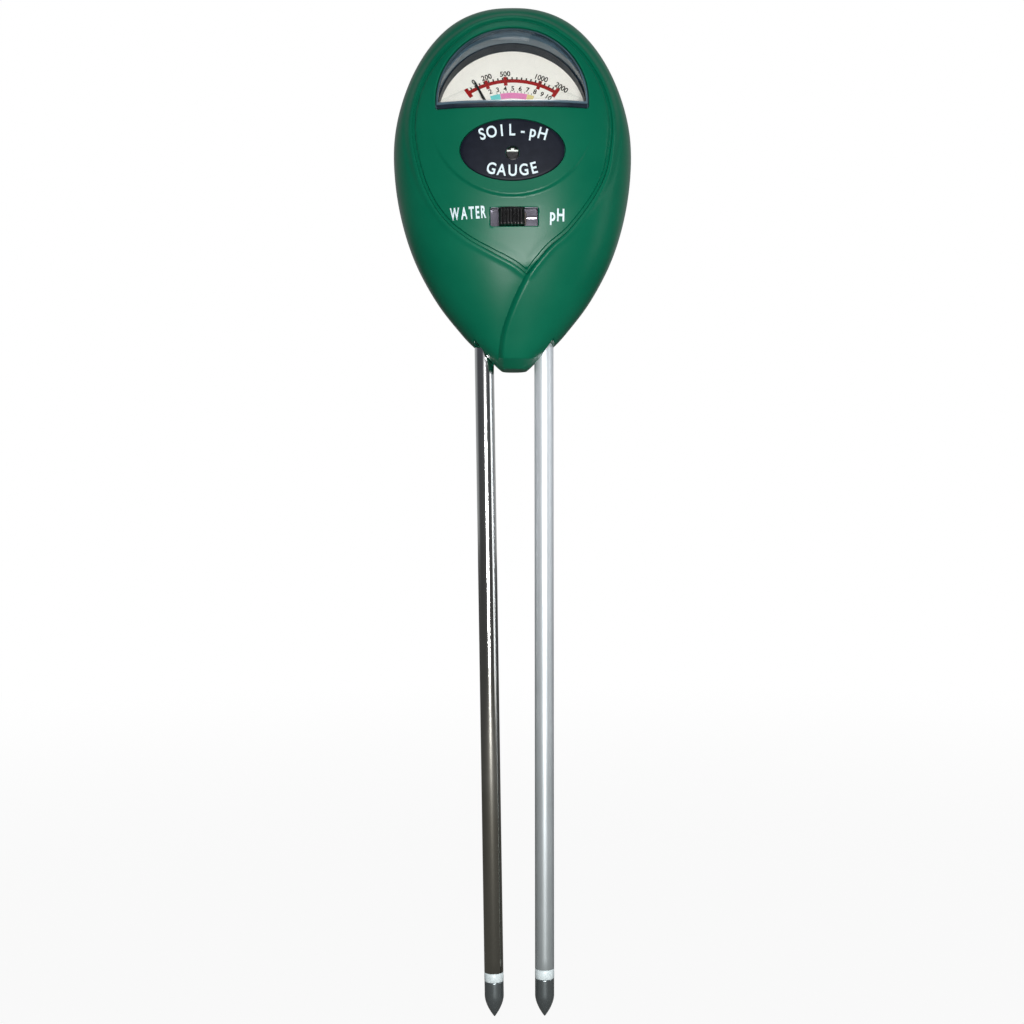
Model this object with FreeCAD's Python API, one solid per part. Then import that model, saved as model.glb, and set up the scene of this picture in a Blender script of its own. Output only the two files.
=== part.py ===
"""Two-way soil meter (moisture and pH).

Frame: millimetres, +Z up, origin at the middle of the nose's flat underside, which stops on the soil.
The dial faces -Y and the parting plane of the two case shells is y = 0.
"""
import FreeCAD, Part
import math, os
from FreeCAD import Vector

os.makedirs("parts", exist_ok=True)

# ---------------------------------------------------------------- driving dimensions
HEAD_TOP = 102.8            # top of the head above the nose
TIP_Z = -182.4              # points of the probes
WALL = 2.0                  # case wall
REAR_RATIO = 0.74           # depth of the rear shell over the depth of the front shell
SUPER_N = 2.6               # exponent of the superelliptic sections

PROBE_R = 2.70              # probe outside radius
PROBE_NECK_R = 2.45         # probe radius inside the nose
PROBE_X = 8.40              # probe axis at the nose, each side
PROBE_TOE = 0.415           # toe-in of each probe, degrees
TUBE_BORE_R = 1.90
ROD_R = 1.00
NECK_Z = 0.8                # where the neck starts
TUBE_TOP = 24.0
ROD_TOP = 29.5
SLEEVE_TOP = 26.5
RING_TOP = {"left": -169.8, "right": -168.9}
RING_BOTTOM = {"left": -172.3, "right": -171.6}
TIP_STRAIGHT = -176.4       # end of the tip's straight part

WIN_HALF = 20.8             # half width and arch radius of the window opening
WIN_BOTTOM = 70.9
WIN_CENTRE = 72.0           # height of the arch's centre
DIAL_TILT = 13.0            # the dial leans back, degrees
DIAL_DEPTH = 11.5           # dial behind the window's lower edge
PIVOT_V = -9.3              # pivot below the window's lower edge, along the dial

BADGE_A, BADGE_B, BADGE_Z = 14.4, 8.5, 58.0
BADGE_DEEP = 1.0
ZERO_Z = 57.1               # zero-adjust screw
ZERO_R = 1.8
ZERO_ECC = 0.85

SLOT_W, SLOT_H, SLOT_X, SLOT_Z = 13.1, 5.0, 0.3, 40.1
KNOB_X, KNOB_W, KNOB_H = -0.35, 7.0, 4.7
KNOB_FRONT = -20.5

NEEDLE_REST = 26.1          # needle at rest, degrees left of the middle of the scale
NEEDLE_LEN = 23.4

CASE_SCREWS = [(0.0, 96.9), (-22.5, 40.0), (22.5, 40.0), (0.0, 25.5)]

# half width and front depth of the head by height
PROFILE = [
    (0.0, 3.6, 7.4), (1.2, 5.0, 8.4), (3.0, 6.9, 9.4), (5.5, 9.9, 10.5), (8.5, 13.1, 11.6), (12.0, 16.1, 12.8),
    (17.0, 20.05, 14.3), (23.0, 23.85, 15.8), (30.0, 27.4, 17.2), (38.0, 30.25, 18.3), (47.0, 32.3, 19.15),
    (56.0, 33.3, 19.55), (65.0, 33.15, 19.45), (73.0, 31.6, 18.7), (80.0, 29.2, 17.4), (86.0, 26.25, 15.7),
    (91.0, 22.85, 13.8), (95.0, 19.15, 11.6), (98.0, 15.4, 9.3), (100.2, 11.45, 7.0), (101.6, 7.85, 4.8),
    (102.4, 4.6, 2.8), (102.8, 0.0, 0.0)]


# ---------------------------------------------------------------- helpers
def spline(xs, ys):
    """Natural cubic spline through the points, as a function."""
    n = len(xs)
    h = [xs[i + 1] - xs[i] for i in range(n - 1)]
    a = [0.0] * n
    l = [1.0] * n
    mu = [0.0] * n
    z = [0.0] * n
    for i in range(1, n - 1):
        a[i] = 3 * ((ys[i + 1] - ys[i]) / h[i] - (ys[i] - ys[i - 1]) / h[i - 1])
        l[i] = 2 * (xs[i + 1] - xs[i - 1]) - h[i - 1] * mu[i - 1]
        mu[i] = h[i] / l[i]
        z[i] = (a[i] - h[i - 1] * z[i - 1]) / l[i]
    c = [0.0] * n
    b = [0.0] * n
    d = [0.0] * n
    for j in range(n - 2, -1, -1):
        c[j] = z[j] - mu[j] * c[j + 1]
        b[j] = (ys[j + 1] - ys[j]) / h[j] - h[j] * (c[j + 1] + 2 * c[j]) / 3
        d[j] = (c[j + 1] - c[j]) / (3 * h[j])

    def f(x):
        j = 0
        while j < n - 2 and x > xs[j + 1]:
            j += 1
        t = x - xs[j]
        return ys[j] + b[j] * t + c[j] * t * t + d[j] * t ** 3
    return f


_zs = [p[0] for p in PROFILE]
_w2 = spline(_zs, [p[1] ** 2 for p in PROFILE])
_f2 = spline(_zs, [p[2] ** 2 for p in PROFILE])


def width(z):
    return math.sqrt(max(_w2(z), 0.0))


def depth(z):
    return math.sqrt(max(_f2(z), 0.0))


def face_y(x, z):
    """Depth (y) of the front shell's outer surface."""
    w = width(z)
    if abs(x) >= w:
        return 0.0
    return -depth(z) * (1 - (abs(x) / w) ** SUPER_N) ** (1 / SUPER_N)


def offset_profile(func, t, levels):
    """Radius of the curve (func(z), z) moved inward by t, at the given levels."""
    pts = []
    n = 900
    for i in range(n + 1):
        s = i / n
        z = min(HEAD_TOP * math.sin(s * math.pi / 2), HEAD_TOP - 1e-4)
        e = 0.02
        z0, z1 = max(z - e, 0.0), min(z + e, HEAD_TOP - 1e-6)
        dr, dz = func(z1) - func(z0), z1 - z0
        k = math.hypot(dr, dz)
        pts.append((z + t * dr / k, func(z) - t * dz / k))
    out = []
    for lv in levels:
        best = 0.0
        for (za, ra), (zb, rb) in zip(pts, pts[1:]):
            if (za - lv) * (zb - lv) <= 0 and za != zb:
                best = max(best, ra + (rb - ra) * (lv - za) / (zb - za))
        out.append(best)
    return out


def half_section(w, d, z, side):
    """Half of a superelliptic section: side -1 is the front half, +1 the rear half."""
    pts = []
    n = 24
    for i in range(n + 1):
        t = math.pi * i / n
        c, s = math.cos(t), math.sin(t)
        x = -w * math.copysign(abs(c) ** (2 / SUPER_N), c)
        y = side * d * abs(s) ** (2 / SUPER_N)
        pts.append(Vector(x, y, z))
    pts[0] = Vector(-w, 0, z)
    pts[-1] = Vector(w, 0, z)
    bs = Part.BSplineCurve()
    bs.interpolate(Points=pts)
    return Part.Wire([bs.toShape(), Part.LineSegment(pts[-1], pts[0]).toShape()])


LEVELS = [0.0, 1.2, 3.0, 5.5, 8.5, 12.0, 17.0, 23.0, 30.0, 38.0, 47.0, 56.0, 65.0, 73.0, 80.0, 86.0, 91.0,
          95.0, 98.0, 100.2, 101.6, 102.4, 102.75]


def outer_half(side):
    k = 1.0 if side < 0 else REAR_RATIO
    wires = [half_section(width(z), depth(z) * k, z, side) for z in LEVELS]
    return Part.makeLoft(wires, True, False)


IN_LEVELS = [10.0, 12.0, 15.0, 19.0, 24.0, 31.0, 39.0, 48.0, 57.0, 65.0, 73.0, 80.0, 86.0, 91.0, 94.5, 97.2,
             99.0, 100.1, 100.6]


def inner_half(side):
    k = 1.0 if side < 0 else REAR_RATIO
    ws = offset_profile(width, WALL, IN_LEVELS)
    ds = offset_profile(lambda z: depth(z) * k, WALL, IN_LEVELS)
    wires = [half_section(w, d, z, side) for w, d, z in zip(ws, ds, IN_LEVELS)]
    return Part.makeLoft(wires, True, False)


def cyl(r, p0, p1):
    p0, p1 = Vector(*p0), Vector(*p1)
    return Part.makeCylinder(r, (p1 - p0).Length, p0, p1 - p0)


def box(x0, x1, y0, y1, z0, z1):
    return Part.makeBox(x1 - x0, y1 - y0, z1 - z0, Vector(x0, y0, z0))


def prism_xz(wire, y0, y1):
    """Closed planar wire at y = 0, made into a solid from y0 to y1."""
    f = Part.Face(wire)
    f.translate(Vector(0, y0, 0))
    return f.extrude(Vector(0, y1 - y0, 0))


def arch_wire_xz(r, bottom, centre, cx=0.0, fillet=0.8):
    a = Vector(cx - r, 0, centre)
    b = Vector(cx + r, 0, centre)
    t = Vector(cx, 0, centre + r)
    e = [Part.Arc(a, t, b).toShape(),
         Part.LineSegment(b, Vector(cx + r, 0, bottom + fillet)).toShape(),
         Part.Arc(Vector(cx + r, 0, bottom + fillet),
                  Vector(cx + r - fillet * (1 - math.sqrt(0.5)), 0, bottom + fillet * (1 - math.sqrt(0.5))),
                  Vector(cx + r - fillet, 0, bottom)).toShape(),
         Part.LineSegment(Vector(cx + r - fillet, 0, bottom), Vector(cx - r + fillet, 0, bottom)).toShape(),
         Part.Arc(Vector(cx - r + fillet, 0, bottom),
                  Vector(cx - r + fillet * (1 - math.sqrt(0.5)), 0, bottom + fillet * (1 - math.sqrt(0.5))),
                  Vector(cx - r, 0, bottom + fillet)).toShape(),
         Part.LineSegment(Vector(cx - r, 0, bottom + fillet), a).toShape()]
    return Part.Wire(e)


def ellipse_wire_xz(a, b, cx, cz):
    e = Part.Ellipse(Vector(cx + a, 0, cz), Vector(cx, 0, cz + b), Vector(cx, 0, cz))
    return Part.Wire([e.toShape()])


def moved_in(shape, dy):
    s = shape.copy()
    s.translate(Vector(0, dy, 0))
    return s


def tube(points, r, radii):
    """Round wire along straight runs joined by tangent arcs."""
    P = [Vector(*p) for p in points]
    edges = []
    cur = P[0]
    for i in range(1, len(P) - 1):
        a = (P[i - 1] - P[i]).normalize()
        b = (P[i + 1] - P[i]).normalize()
        ang = a.getAngle(b)
        turn = math.pi - ang
        t = radii[i - 1] * math.tan(turn / 2)
        s, e = P[i] + a * t, P[i] + b * t
        bis = (a + b).normalize()
        c = P[i] + bis * (radii[i - 1] / math.cos(turn / 2))
        m = c - bis * radii[i - 1]
        edges.append(Part.LineSegment(cur, s).toShape())
        edges.append(Part.Arc(s, m, e).toShape())
        cur = e
    edges.append(Part.LineSegment(cur, P[-1]).toShape())
    path = Part.Wire(edges)
    d0 = P[1] - P[0]
    circ = Part.Wire([Part.Circle(P[0], d0, r).toShape()])
    return path.makePipeShell([circ], True, False)


def revolve_z(profile):
    """Closed (r, z) outline turned about Z."""
    pts = [Vector(r, 0, z) for r, z in profile]
    w = Part.makePolygon(pts + [pts[0]])
    return Part.Face(w).revolve(Vector(0, 0, 0), Vector(0, 0, 1), 360)


def screw(p, direction, head_r, head_h, shaft_r, shaft_l, slot=0.5, cross=True):
    """Pan-head screw: p is under the head, direction is the way the shaft points."""
    s = Part.makeCylinder(head_r, head_h, Vector(0, 0, 0), Vector(0, 0, -1))
    s = s.fuse(Part.makeCylinder(shaft_r, shaft_l, Vector(0, 0, 0), Vector(0, 0, 1)))
    s = s.fuse(Part.makeCone(shaft_r, shaft_r * 0.3, shaft_r, Vector(0, 0, shaft_l), Vector(0, 0, 1)))
    s = s.removeSplitter()
    top = -head_h
    k = head_r * 0.72
    s = s.cut(Part.makeBox(2 * k, slot, head_h * 0.55, Vector(-k, -slot / 2, top - 0.01)))
    if cross:
        s = s.cut(Part.makeBox(slot, 2 * k, head_h * 0.55, Vector(-slot / 2, -k, top - 0.01)))
    rot = FreeCAD.Rotation(Vector(0, 0, 1), Vector(*direction))
    s.Placement = FreeCAD.Placement(Vector(*p), rot)
    return s


ZAX = Vector(0, 0, 1)

# local frame of the movement: X across, Y up along the dial, Z out towards the reader
tau = math.radians(DIAL_TILT)
N = Vector(0, -math.cos(tau), math.sin(tau))
UP = Vector(0, math.sin(tau), math.cos(tau))
P0 = Vector(0, face_y(0, WIN_BOTTOM), WIN_BOTTOM)
PIVOT = P0 - N * DIAL_DEPTH + UP * PIVOT_V


def place(s):
    s = s.copy()
    s.rotate(Vector(0, 0, 0), Vector(1, 0, 0), 90 - DIAL_TILT)
    s.translate(PIVOT)
    return s


def lcyl(r, z0, z1, x=0.0, y=0.0):
    return Part.makeCylinder(r, z1 - z0, Vector(x, y, z0), ZAX)


def lring(r1, r0, z0, z1, x=0.0, y=0.0):
    return lcyl(r1, z0, z1, x, y).cut(lcyl(r0, z0 - 1, z1 + 1, x, y))


def larch(r, bottom, centre, z0, z1, low_half=None):
    """Arch outline in the movement's frame, from z0 to z1."""
    h = r if low_half is None else low_half
    a, b, t = Vector(-r, centre, z0), Vector(r, centre, z0), Vector(0, centre + r, z0)
    e = [Part.Arc(a, t, b).toShape()]
    pts = [b, Vector(r, bottom, z0), Vector(-r, bottom, z0), a]
    e += [Part.LineSegment(p, q).toShape() for p, q in zip(pts, pts[1:])]
    return Part.Face(Part.Wire(e)).extrude(Vector(0, 0, z1 - z0))


parts = {}

# ---------------------------------------------------------------- case shells
front_outer = outer_half(-1)
rear_outer = outer_half(1)
front_inner = inner_half(-1)
rear_inner = inner_half(1)


def full_outer_in(dy):
    """Front outer solid moved inward by dy, without the part beyond y = 0."""
    return moved_in(front_outer, dy)


front = front_outer.cut(front_inner)
rear = rear_outer.cut(rear_inner)


def probe_frame(s, side):
    """Put a solid built on the Z axis onto the left or right probe axis."""
    s = s.copy()
    k = -1 if side == "left" else 1
    s.rotate(Vector(0, 0, 0), Vector(0, 1, 0), k * PROBE_TOE)
    s.translate(Vector(k * PROBE_X, 0, 0))
    return s


# probe channels through the nose
for side in ("left", "right"):
    hole = probe_frame(lcyl(PROBE_NECK_R + 0.02, -2, 14), side)
    front = front.cut(hole)
    rear = rear.cut(hole)

# bosses of the front shell
boss_r = 2.6
for x, z in CASE_SCREWS:
    b = cyl(boss_r, (x, face_y(x, z) + 0.8, z), (x, 0, z))
    b = b.common(front_outer)
    front = front.fuse(b)
BOARD_SCREWS = [(-14.5, 35.0), (14.5, 35.0)]
BOARD_Y0, BOARD_Y1 = -8.9, -7.7
for x, z in BOARD_SCREWS:
    front = front.fuse(cyl(1.9, (x, face_y(x, z) + 0.8, z), (x, BOARD_Y0, z)))
HOLDER_Z0, HOLDER_Z1 = 12.6, 19.0
front = front.fuse(cyl(2.2, (0, face_y(0, 15.8) + 0.8, 15.8), (0, -4.5, 15.8)))
METER_EARS = [(-19.0, -5.0), (19.0, -5.0)]
for u, v in METER_EARS:
    b = place(lcyl(2.2, -0.5, 12.0, u, v)).common(full_outer_in(0.8))
    front = front.fuse(b)
front = front.removeSplitter()

# screw holes
for x, z in CASE_SCREWS:
    front = front.cut(cyl(0.98, (x, -8.0, z), (x, 0.5, z)))
for x, z in BOARD_SCREWS:
    front = front.cut(cyl(0.78, (x, -14.5, z), (x, BOARD_Y0 + 0.5, z)))
front = front.cut(cyl(0.98, (0, -10.0, 15.8), (0, -4.0, 15.8)))
for u, v in METER_EARS:
    front = front.cut(place(lcyl(0.78, -1.0, 3.6, u, v)))

# window: opening, and a seat behind it for the lens flange
win = prism_xz(arch_wire_xz(WIN_HALF, WIN_BOTTOM, WIN_CENTRE), -30, -1.5)
front = front.cut(win)
seat = prism_xz(arch_wire_xz(WIN_HALF + 1.6, WIN_BOTTOM - 1.4, WIN_CENTRE), -30, -1.5).common(full_outer_in(2.0))
front = front.cut(seat)

# badge pocket and zero-adjust hole
badge_prism = prism_xz(ellipse_wire_xz(BADGE_A, BADGE_B, 0, BADGE_Z), -30, -10)
front = front.cut(badge_prism.cut(full_outer_in(BADGE_DEEP)))
front = front.cut(cyl(1.36, (0, -30, ZERO_Z), (0, -10, ZERO_Z)))

# switch slot
slot = box(SLOT_X - SLOT_W / 2, SLOT_X + SLOT_W / 2, -30, -11, SLOT_Z - SLOT_H / 2, SLOT_Z + SLOT_H / 2)
front = front.cut(slot)

# rear shell: screw posts with counterbores
for x, z in CASE_SCREWS:
    yb = -face_y(x, z) * REAR_RATIO
    rear = rear.fuse(cyl(2.9, (x, 0.05, z), (x, yb + 1, z)).common(rear_outer))
rear = rear.removeSplitter()
for x, z in CASE_SCREWS:
    yb = -face_y(x, z) * REAR_RATIO
    rear = rear.cut(cyl(1.25, (x, -1, z), (x, yb + 3, z)))
    rear = rear.cut(cyl(2.05, (x, max(yb - 4.0, 2.2), z), (x, yb + 3, z)))

parts["front_shell"] = front
parts["rear_shell"] = rear

# ---------------------------------------------------------------- window, dial and badge
plug = prism_xz(arch_wire_xz(WIN_HALF - 0.1, WIN_BOTTOM + 0.1, WIN_CENTRE, fillet=0.7), -30, -1.5)
plug = plug.common(full_outer_in(0.4)).cut(full_outer_in(2.05))
flange = prism_xz(arch_wire_xz(WIN_HALF + 1.5, WIN_BOTTOM - 1.3, WIN_CENTRE), -30, -1.5)
flange = flange.common(full_outer_in(2.05)).cut(full_outer_in(3.2))
parts["window_lens"] = plug.fuse(flange).removeSplitter()

ARCH_V = -PIVOT_V + (WIN_CENTRE - WIN_BOTTOM)      # arch centre above the pivot along the dial
TUN_R = 20.6
tun_out = larch(TUN_R + 1.5, -PIVOT_V - 0.9, ARCH_V, 0.0, 16.0)
tun_in = larch(TUN_R, -PIVOT_V + 0.9, ARCH_V, -1.0, 17.0)
tunnel = tun_out.cut(tun_in).cut(Part.makeBox(60, 6, 3.0, Vector(-30, -PIVOT_V - 3, -0.01)))
tunnel = place(tunnel).common(full_outer_in(3.25))
parts["dial_surround"] = tunnel

dial = larch(21.6, -10.4, ARCH_V, -0.5, 0.0)
dial = dial.cut(Part.makeBox(10, 13.0, 3, Vector(-25.0, -11, -1)))
dial = dial.cut(Part.makeBox(10, 13.0, 3, Vector(15.0, -11, -1)))
dial = dial.cut(lcyl(3.2, -1, 1))
for u in (-11.8, 11.8):
    dial = dial.cut(lcyl(0.62, -1, 1, u, 0))
parts["dial_plate"] = place(dial)

badge = prism_xz(ellipse_wire_xz(BADGE_A - 0.1, BADGE_B - 0.1, 0, BADGE_Z), -30, -10)
badge = badge.common(full_outer_in(0.15)).cut(full_outer_in(BADGE_DEEP))
badge = badge.cut(cyl(ZERO_R + 0.1, (0, -30, ZERO_Z), (0, -10, ZERO_Z)))
parts["badge"] = badge

# ---------------------------------------------------------------- movement (built in its own frame)
base = larch(21.6, -10.4, ARCH_V, -2.3, -0.5)
base = base.cut(lcyl(8.5, -3, 1))
base = base.cut(Part.makeBox(26.0, 20, 5, Vector(-13.0, 14.0, -4)))
base = base.fuse(lring(10.2, 8.5, -15.2, -2.3))
base = base.removeSplitter()
for u in (-11.8, 11.8):
    base = base.cut(lcyl(0.5, -3, 1, u, 0))
for u, v in METER_EARS:
    base = base.cut(lcyl(0.9, -4, 1, u, v))
for u in (-9.35, 9.35):
    base = base.cut(lcyl(0.4, -16, -11.4, u, 0))
parts["meter_base"] = place(base)

# dial side of the ears must stay clear of the bosses, which end on the base plate
ring = lring(8.5, 6.3, -11.0, -3.0)
parts["flux_ring"] = place(ring)
core = lcyl(4.3, -11.0, -3.0)
parts["core_magnet"] = place(core)
brk = []
for k in (1, -1):
    b = Part.makeBox(2.0, 3.0, 3.0, Vector(-1.0, 3.8 if k > 0 else -6.8, -8.5))
    b = b.common(lring(6.3, 4.3, -9, -5))
    brk.append(b)
parts["core_bracket"] = Part.makeCompound([place(b) for b in brk])

# front bridge on the dial, rear bridge on the cup
fb = Part.makeBox(20.6, 3.0, 0.8, Vector(-10.3, -1.5, 3.4))
for k in (-1, 1):
    x0 = 9.5 if k > 0 else -10.3
    fb = fb.fuse(Part.makeBox(0.8, 3.0, 4.2, Vector(x0, -1.5, 0.0)))
    x1 = 9.5 if k > 0 else -13.4
    fb = fb.fuse(Part.makeBox(3.9, 3.0, 0.8, Vector(x1, -1.5, 0.0)))
fb = fb.removeSplitter().cut(lcyl(1.2, 3, 5))
for u in (-11.8, 11.8):
    fb = fb.cut(lcyl(0.62, -1, 2, u, 0))
parts["front_bridge"] = place(fb)
rb = Part.makeBox(21.0, 3.4, 0.9, Vector(-10.5, -1.7, -16.1))
rb = rb.fuse(lcyl(2.2, -16.1, -15.2)).removeSplitter().cut(lcyl(1.2, -17, -15))
for u in (-9.35, 9.35):
    rb = rb.cut(lcyl(0.5, -17, -15, u, 0))
parts["rear_bridge"] = place(rb)

bs = []
for u in (-11.8, 11.8):
    bs.append(screw((u, 0, 0.8), (0, 0, -1), 1.1, 0.6, 0.5, 1.7, slot=0.3, cross=False))
for u in (-9.35, 9.35):
    bs.append(screw((u, 0, -16.1), (0, 0, 1), 0.8, 0.5, 0.4, 3.0, slot=0.25, cross=False))
parts["bridge_screws"] = Part.makeCompound([place(s) for s in bs])

# jewel screws with conical cups for the pivots
jf = lcyl(1.2, 2.5, 4.95).fuse(lcyl(1.95, 4.95, 5.5)).removeSplitter()
jf = jf.cut(Part.makeCone(0.62, 0.12, 0.62, Vector(0, 0, 2.49), ZAX))
jf = jf.cut(Part.makeBox(3.0, 0.4, 0.5, Vector(-1.5, -0.2, 5.2)))
jr = lcyl(1.2, -16.7, -14.7)
jr = jr.cut(Part.makeCone(0.62, 0.12, 0.62, Vector(0, 0, -14.69), Vector(0, 0, -1)))
jr = jr.cut(Part.makeBox(2.0, 0.4, 0.5, Vector(-1.0, -0.2, -16.9)))
parts["jewel_screws"] = Part.makeCompound([place(jf), place(jr)])

# moving system, with the needle turned to its rest position
def turned(s):
    s = s.copy()
    s.rotate(Vector(0, 0, 0), ZAX, NEEDLE_REST)
    return place(s)


def flat(pts, z0, z1):
    v = [Vector(x, y, z0) for x, y in pts]
    return Part.Face(Part.makePolygon(v + [v[0]])).extrude(Vector(0, 0, z1 - z0))


hub = lring(1.4, 0.4, 0.75, 1.45)
blade = flat([(-0.42, 0.9), (0.42, 0.9), (0.26, 14.0), (0.11, NEEDLE_LEN), (-0.11, NEEDLE_LEN), (-0.26, 14.0)],
             0.95, 1.25)
tail = flat([(-0.3, -5.2), (0.3, -5.2), (0.3, -0.9), (-0.3, -0.9)], 0.95, 1.25)
cross = flat([(-4.2, -0.25), (-0.9, -0.25), (-0.9, 0.25), (-4.2, 0.25)], 0.95, 1.25)
cross2 = flat([(0.9, -0.25), (4.2, -0.25), (4.2, 0.25), (0.9, 0.25)], 0.95, 1.25)
needle = hub.fuse([blade, tail, cross, cross2]).removeSplitter().cut(lcyl(0.4, 0, 2))
parts["needle"] = turned(needle)

wt = []
for x0, y0, x1, y1, r in ((0, -5.0, 0, -3.2, 0.62), (-4.1, 0, -3.5, 0, 0.5), (4.1, 0, 3.5, 0, 0.5)):
    c = cyl(r, (x0, y0, 1.10), (x1, y1, 1.10))
    c = c.cut(Part.makeBox(0.62 if x0 == 0 else 4, 4 if x0 == 0 else 0.52, 0.32,
                           Vector(-0.31, -6, 0.94) if x0 == 0 else
                           Vector(-6 if x0 < 0 else 2, -0.26, 0.94)))
    wt.append(c)
w0 = []
for c in wt:
    w0 += c.Solids
parts["balance_weights"] = Part.makeCompound([turned(s) for s in w0])

front_staff = lcyl(0.4, -1.3, 2.42).fuse(Part.makeCone(0.4, 0.04, 0.42, Vector(0, 0, 2.42), ZAX))
front_staff = front_staff.fuse(lcyl(0.75, 1.8, 2.3)).removeSplitter()
rear_staff = lcyl(0.4, -14.62, -12.7).fuse(Part.makeCone(0.4, 0.04, 0.42, Vector(0, 0, -14.62), Vector(0, 0, -1)))
rear_staff = rear_staff.fuse(lcyl(0.75, -13.75, -13.25)).removeSplitter()
parts["pivot_staff"] = Part.makeCompound([turned(front_staff), turned(rear_staff)])

coil = Part.makeBox(11.6, 2.8, 11.4, Vector(-5.8, -1.4, -12.7))
coil = coil.cut(Part.makeBox(9.6, 4, 9.4, Vector(-4.8, -2, -11.7)))
coil = coil.makeFillet(0.4, [e for e in coil.Edges if e.Length > 2.7 and e.Length < 2.9])
parts["moving_coil"] = turned(coil)


def hairspring(r0, r1, turns, z0, z1, start, hand):
    """Flat spiral strip from r0 to r1."""
    th = 0.07
    a, b = [], []
    n = int(turns * 28)
    for i in range(n + 1):
        t = i / n
        ang = math.radians(start) + hand * 2 * math.pi * turns * t
        r = r0 + (r1 - r0) * t
        a.append(Vector((r - th) * math.cos(ang), (r - th) * math.sin(ang), z0))
        b.append(Vector((r + th) * math.cos(ang), (r + th) * math.sin(ang), z0))
    ca, cb = Part.BSplineCurve(), Part.BSplineCurve()
    ca.interpolate(Points=a)
    cb.interpolate(Points=b[::-1])
    w = Part.Wire([ca.toShape(), Part.LineSegment(a[-1], b[-1]).toShape(), cb.toShape(),
                   Part.LineSegment(b[0], a[0]).toShape()])
    return Part.Face(w).extrude(Vector(0, 0, z1 - z0))


parts["hairspring_front"] = place(hairspring(0.86, 3.80, 4.375, 1.95, 2.15, 0, 1))
parts["hairspring_rear"] = place(hairspring(0.86, 3.80, 4.375, -13.6, -13.4, 0, 1))

# fixed stud of the rear hairspring on the rear bridge, at the spring's outer end
stud_a = math.radians(135)
stud = lcyl(0.35, -15.2, -13.3, 4.28 * math.cos(stud_a), 4.28 * math.sin(stud_a))
rb2 = rb.fuse([stud, flat([(-1.0, 1.2), (-2.4, 3.3), (-3.4, 3.5), (-3.5, 2.5), (-1.9, 1.0)], -16.1, -15.2)])
parts["rear_bridge"] = place(rb2.removeSplitter())

# zero lever: ring on the front jewel screw, fork down to the eccentric pin, finger for the spring
lev = lcyl(2.3, 4.3, 4.85)
lev = lev.fuse(flat([(-1.5, -5.9), (1.5, -5.9), (1.5, 0), (-1.5, 0)], 4.3, 4.85))
lev = lev.fuse(flat([(-3.6, 3.0), (-3.0, 3.6), (0.3, 0.9), (-0.9, -0.3)], 4.3, 4.85))
lev = lev.removeSplitter().cut(lcyl(1.26, 4, 5))
lev = lev.cut(flat([(-0.48, -6.5), (0.48, -6.5), (0.48, -2.9), (-0.48, -2.9)], 4, 5))
finger = Part.makeBox(0.5, 0.5, 2.55, Vector(3.90, -0.25, 1.85))
finger.rotate(Vector(0, 0, 0), ZAX, 135)
lev = lev.fuse(finger).removeSplitter()
parts["zero_lever"] = place(lev)

# zero-adjust screw: slotted head in the badge, eccentric pin at the inner end
yh = face_y(0, ZERO_Z)
zs = cyl(ZERO_R, (0, yh + 0.3, ZERO_Z), (0, yh + BADGE_DEEP - 0.03, ZERO_Z))
zs = zs.fuse(cyl(1.30, (0, yh + 0.9, ZERO_Z), (0, yh + 3.0, ZERO_Z)))
zs = zs.fuse(Part.makeCone(1.62, 1.3, 0.5, Vector(0, yh + WALL + 0.4, ZERO_Z), Vector(0, 1, 0)))
zs = zs.fuse(cyl(0.40, (0, yh + 2.8, ZERO_Z - ZERO_ECC), (0, -14.35, ZERO_Z - ZERO_ECC)))
zs = zs.removeSplitter()
zs = zs.cut(box(-1.5, 1.5, yh + 0.2, yh + 0.8, ZERO_Z - 0.35, ZERO_Z + 0.35))
parts["zero_adjust_screw"] = zs

ms = []
for u, v in METER_EARS:
    ms.append(place(screw((u, v, -2.3), (0, 0, 1), 1.6, 1.0, 0.78, 4.6, slot=0.4)))
parts["meter_screws"] = Part.makeCompound(ms)

# ---------------------------------------------------------------- switch
SW_Y = -15.2
cap = box(KNOB_X - KNOB_W / 2, KNOB_X + KNOB_W / 2, KNOB_FRONT, SW_Y - 0.25, SLOT_Z - KNOB_H / 2, SLOT_Z + KNOB_H / 2)
cap = cap.makeFillet(0.5, [e for e in cap.Edges if abs(e.BoundBox.YMin - KNOB_FRONT) < 1e-3
                           and abs(e.BoundBox.YMax - KNOB_FRONT) < 1e-3])
for i in range(5):
    xr = KNOB_X - 2.4 + 1.2 * i
    cap = cap.cut(box(xr - 0.25, xr + 0.25, KNOB_FRONT - 1, KNOB_FRONT + 0.45, SLOT_Z - 3, SLOT_Z + 3))
post = box(KNOB_X - 1.7, KNOB_X + 1.7, SW_Y - 0.3, -13.9, SLOT_Z - 1.5, SLOT_Z + 1.5)
parts["switch_knob"] = cap.fuse(post).removeSplitter()

frame = box(SLOT_X - 7.0, SLOT_X + 7.0, SW_Y, -10.2, SLOT_Z - 3.7, SLOT_Z + 3.7)
frame = frame.cut(box(SLOT_X - 6.5, SLOT_X + 6.5, SW_Y + 0.5, -9, SLOT_Z - 3.2, SLOT_Z + 3.2))
frame = frame.cut(box(KNOB_X - 2.0, KNOB_X + 4.0, SW_Y - 1, SW_Y + 1, SLOT_Z - 1.7, SLOT_Z + 1.7))
for x in (SLOT_X - 4.0, SLOT_X + 4.0):
    for z in (SLOT_Z - 3.7, SLOT_Z + 3.2):
        frame = frame.fuse(box(x - 0.8, x + 0.8, -10.3, BOARD_Y0, z, z + 0.5))
parts["switch_frame"] = frame.removeSplitter()

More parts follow.
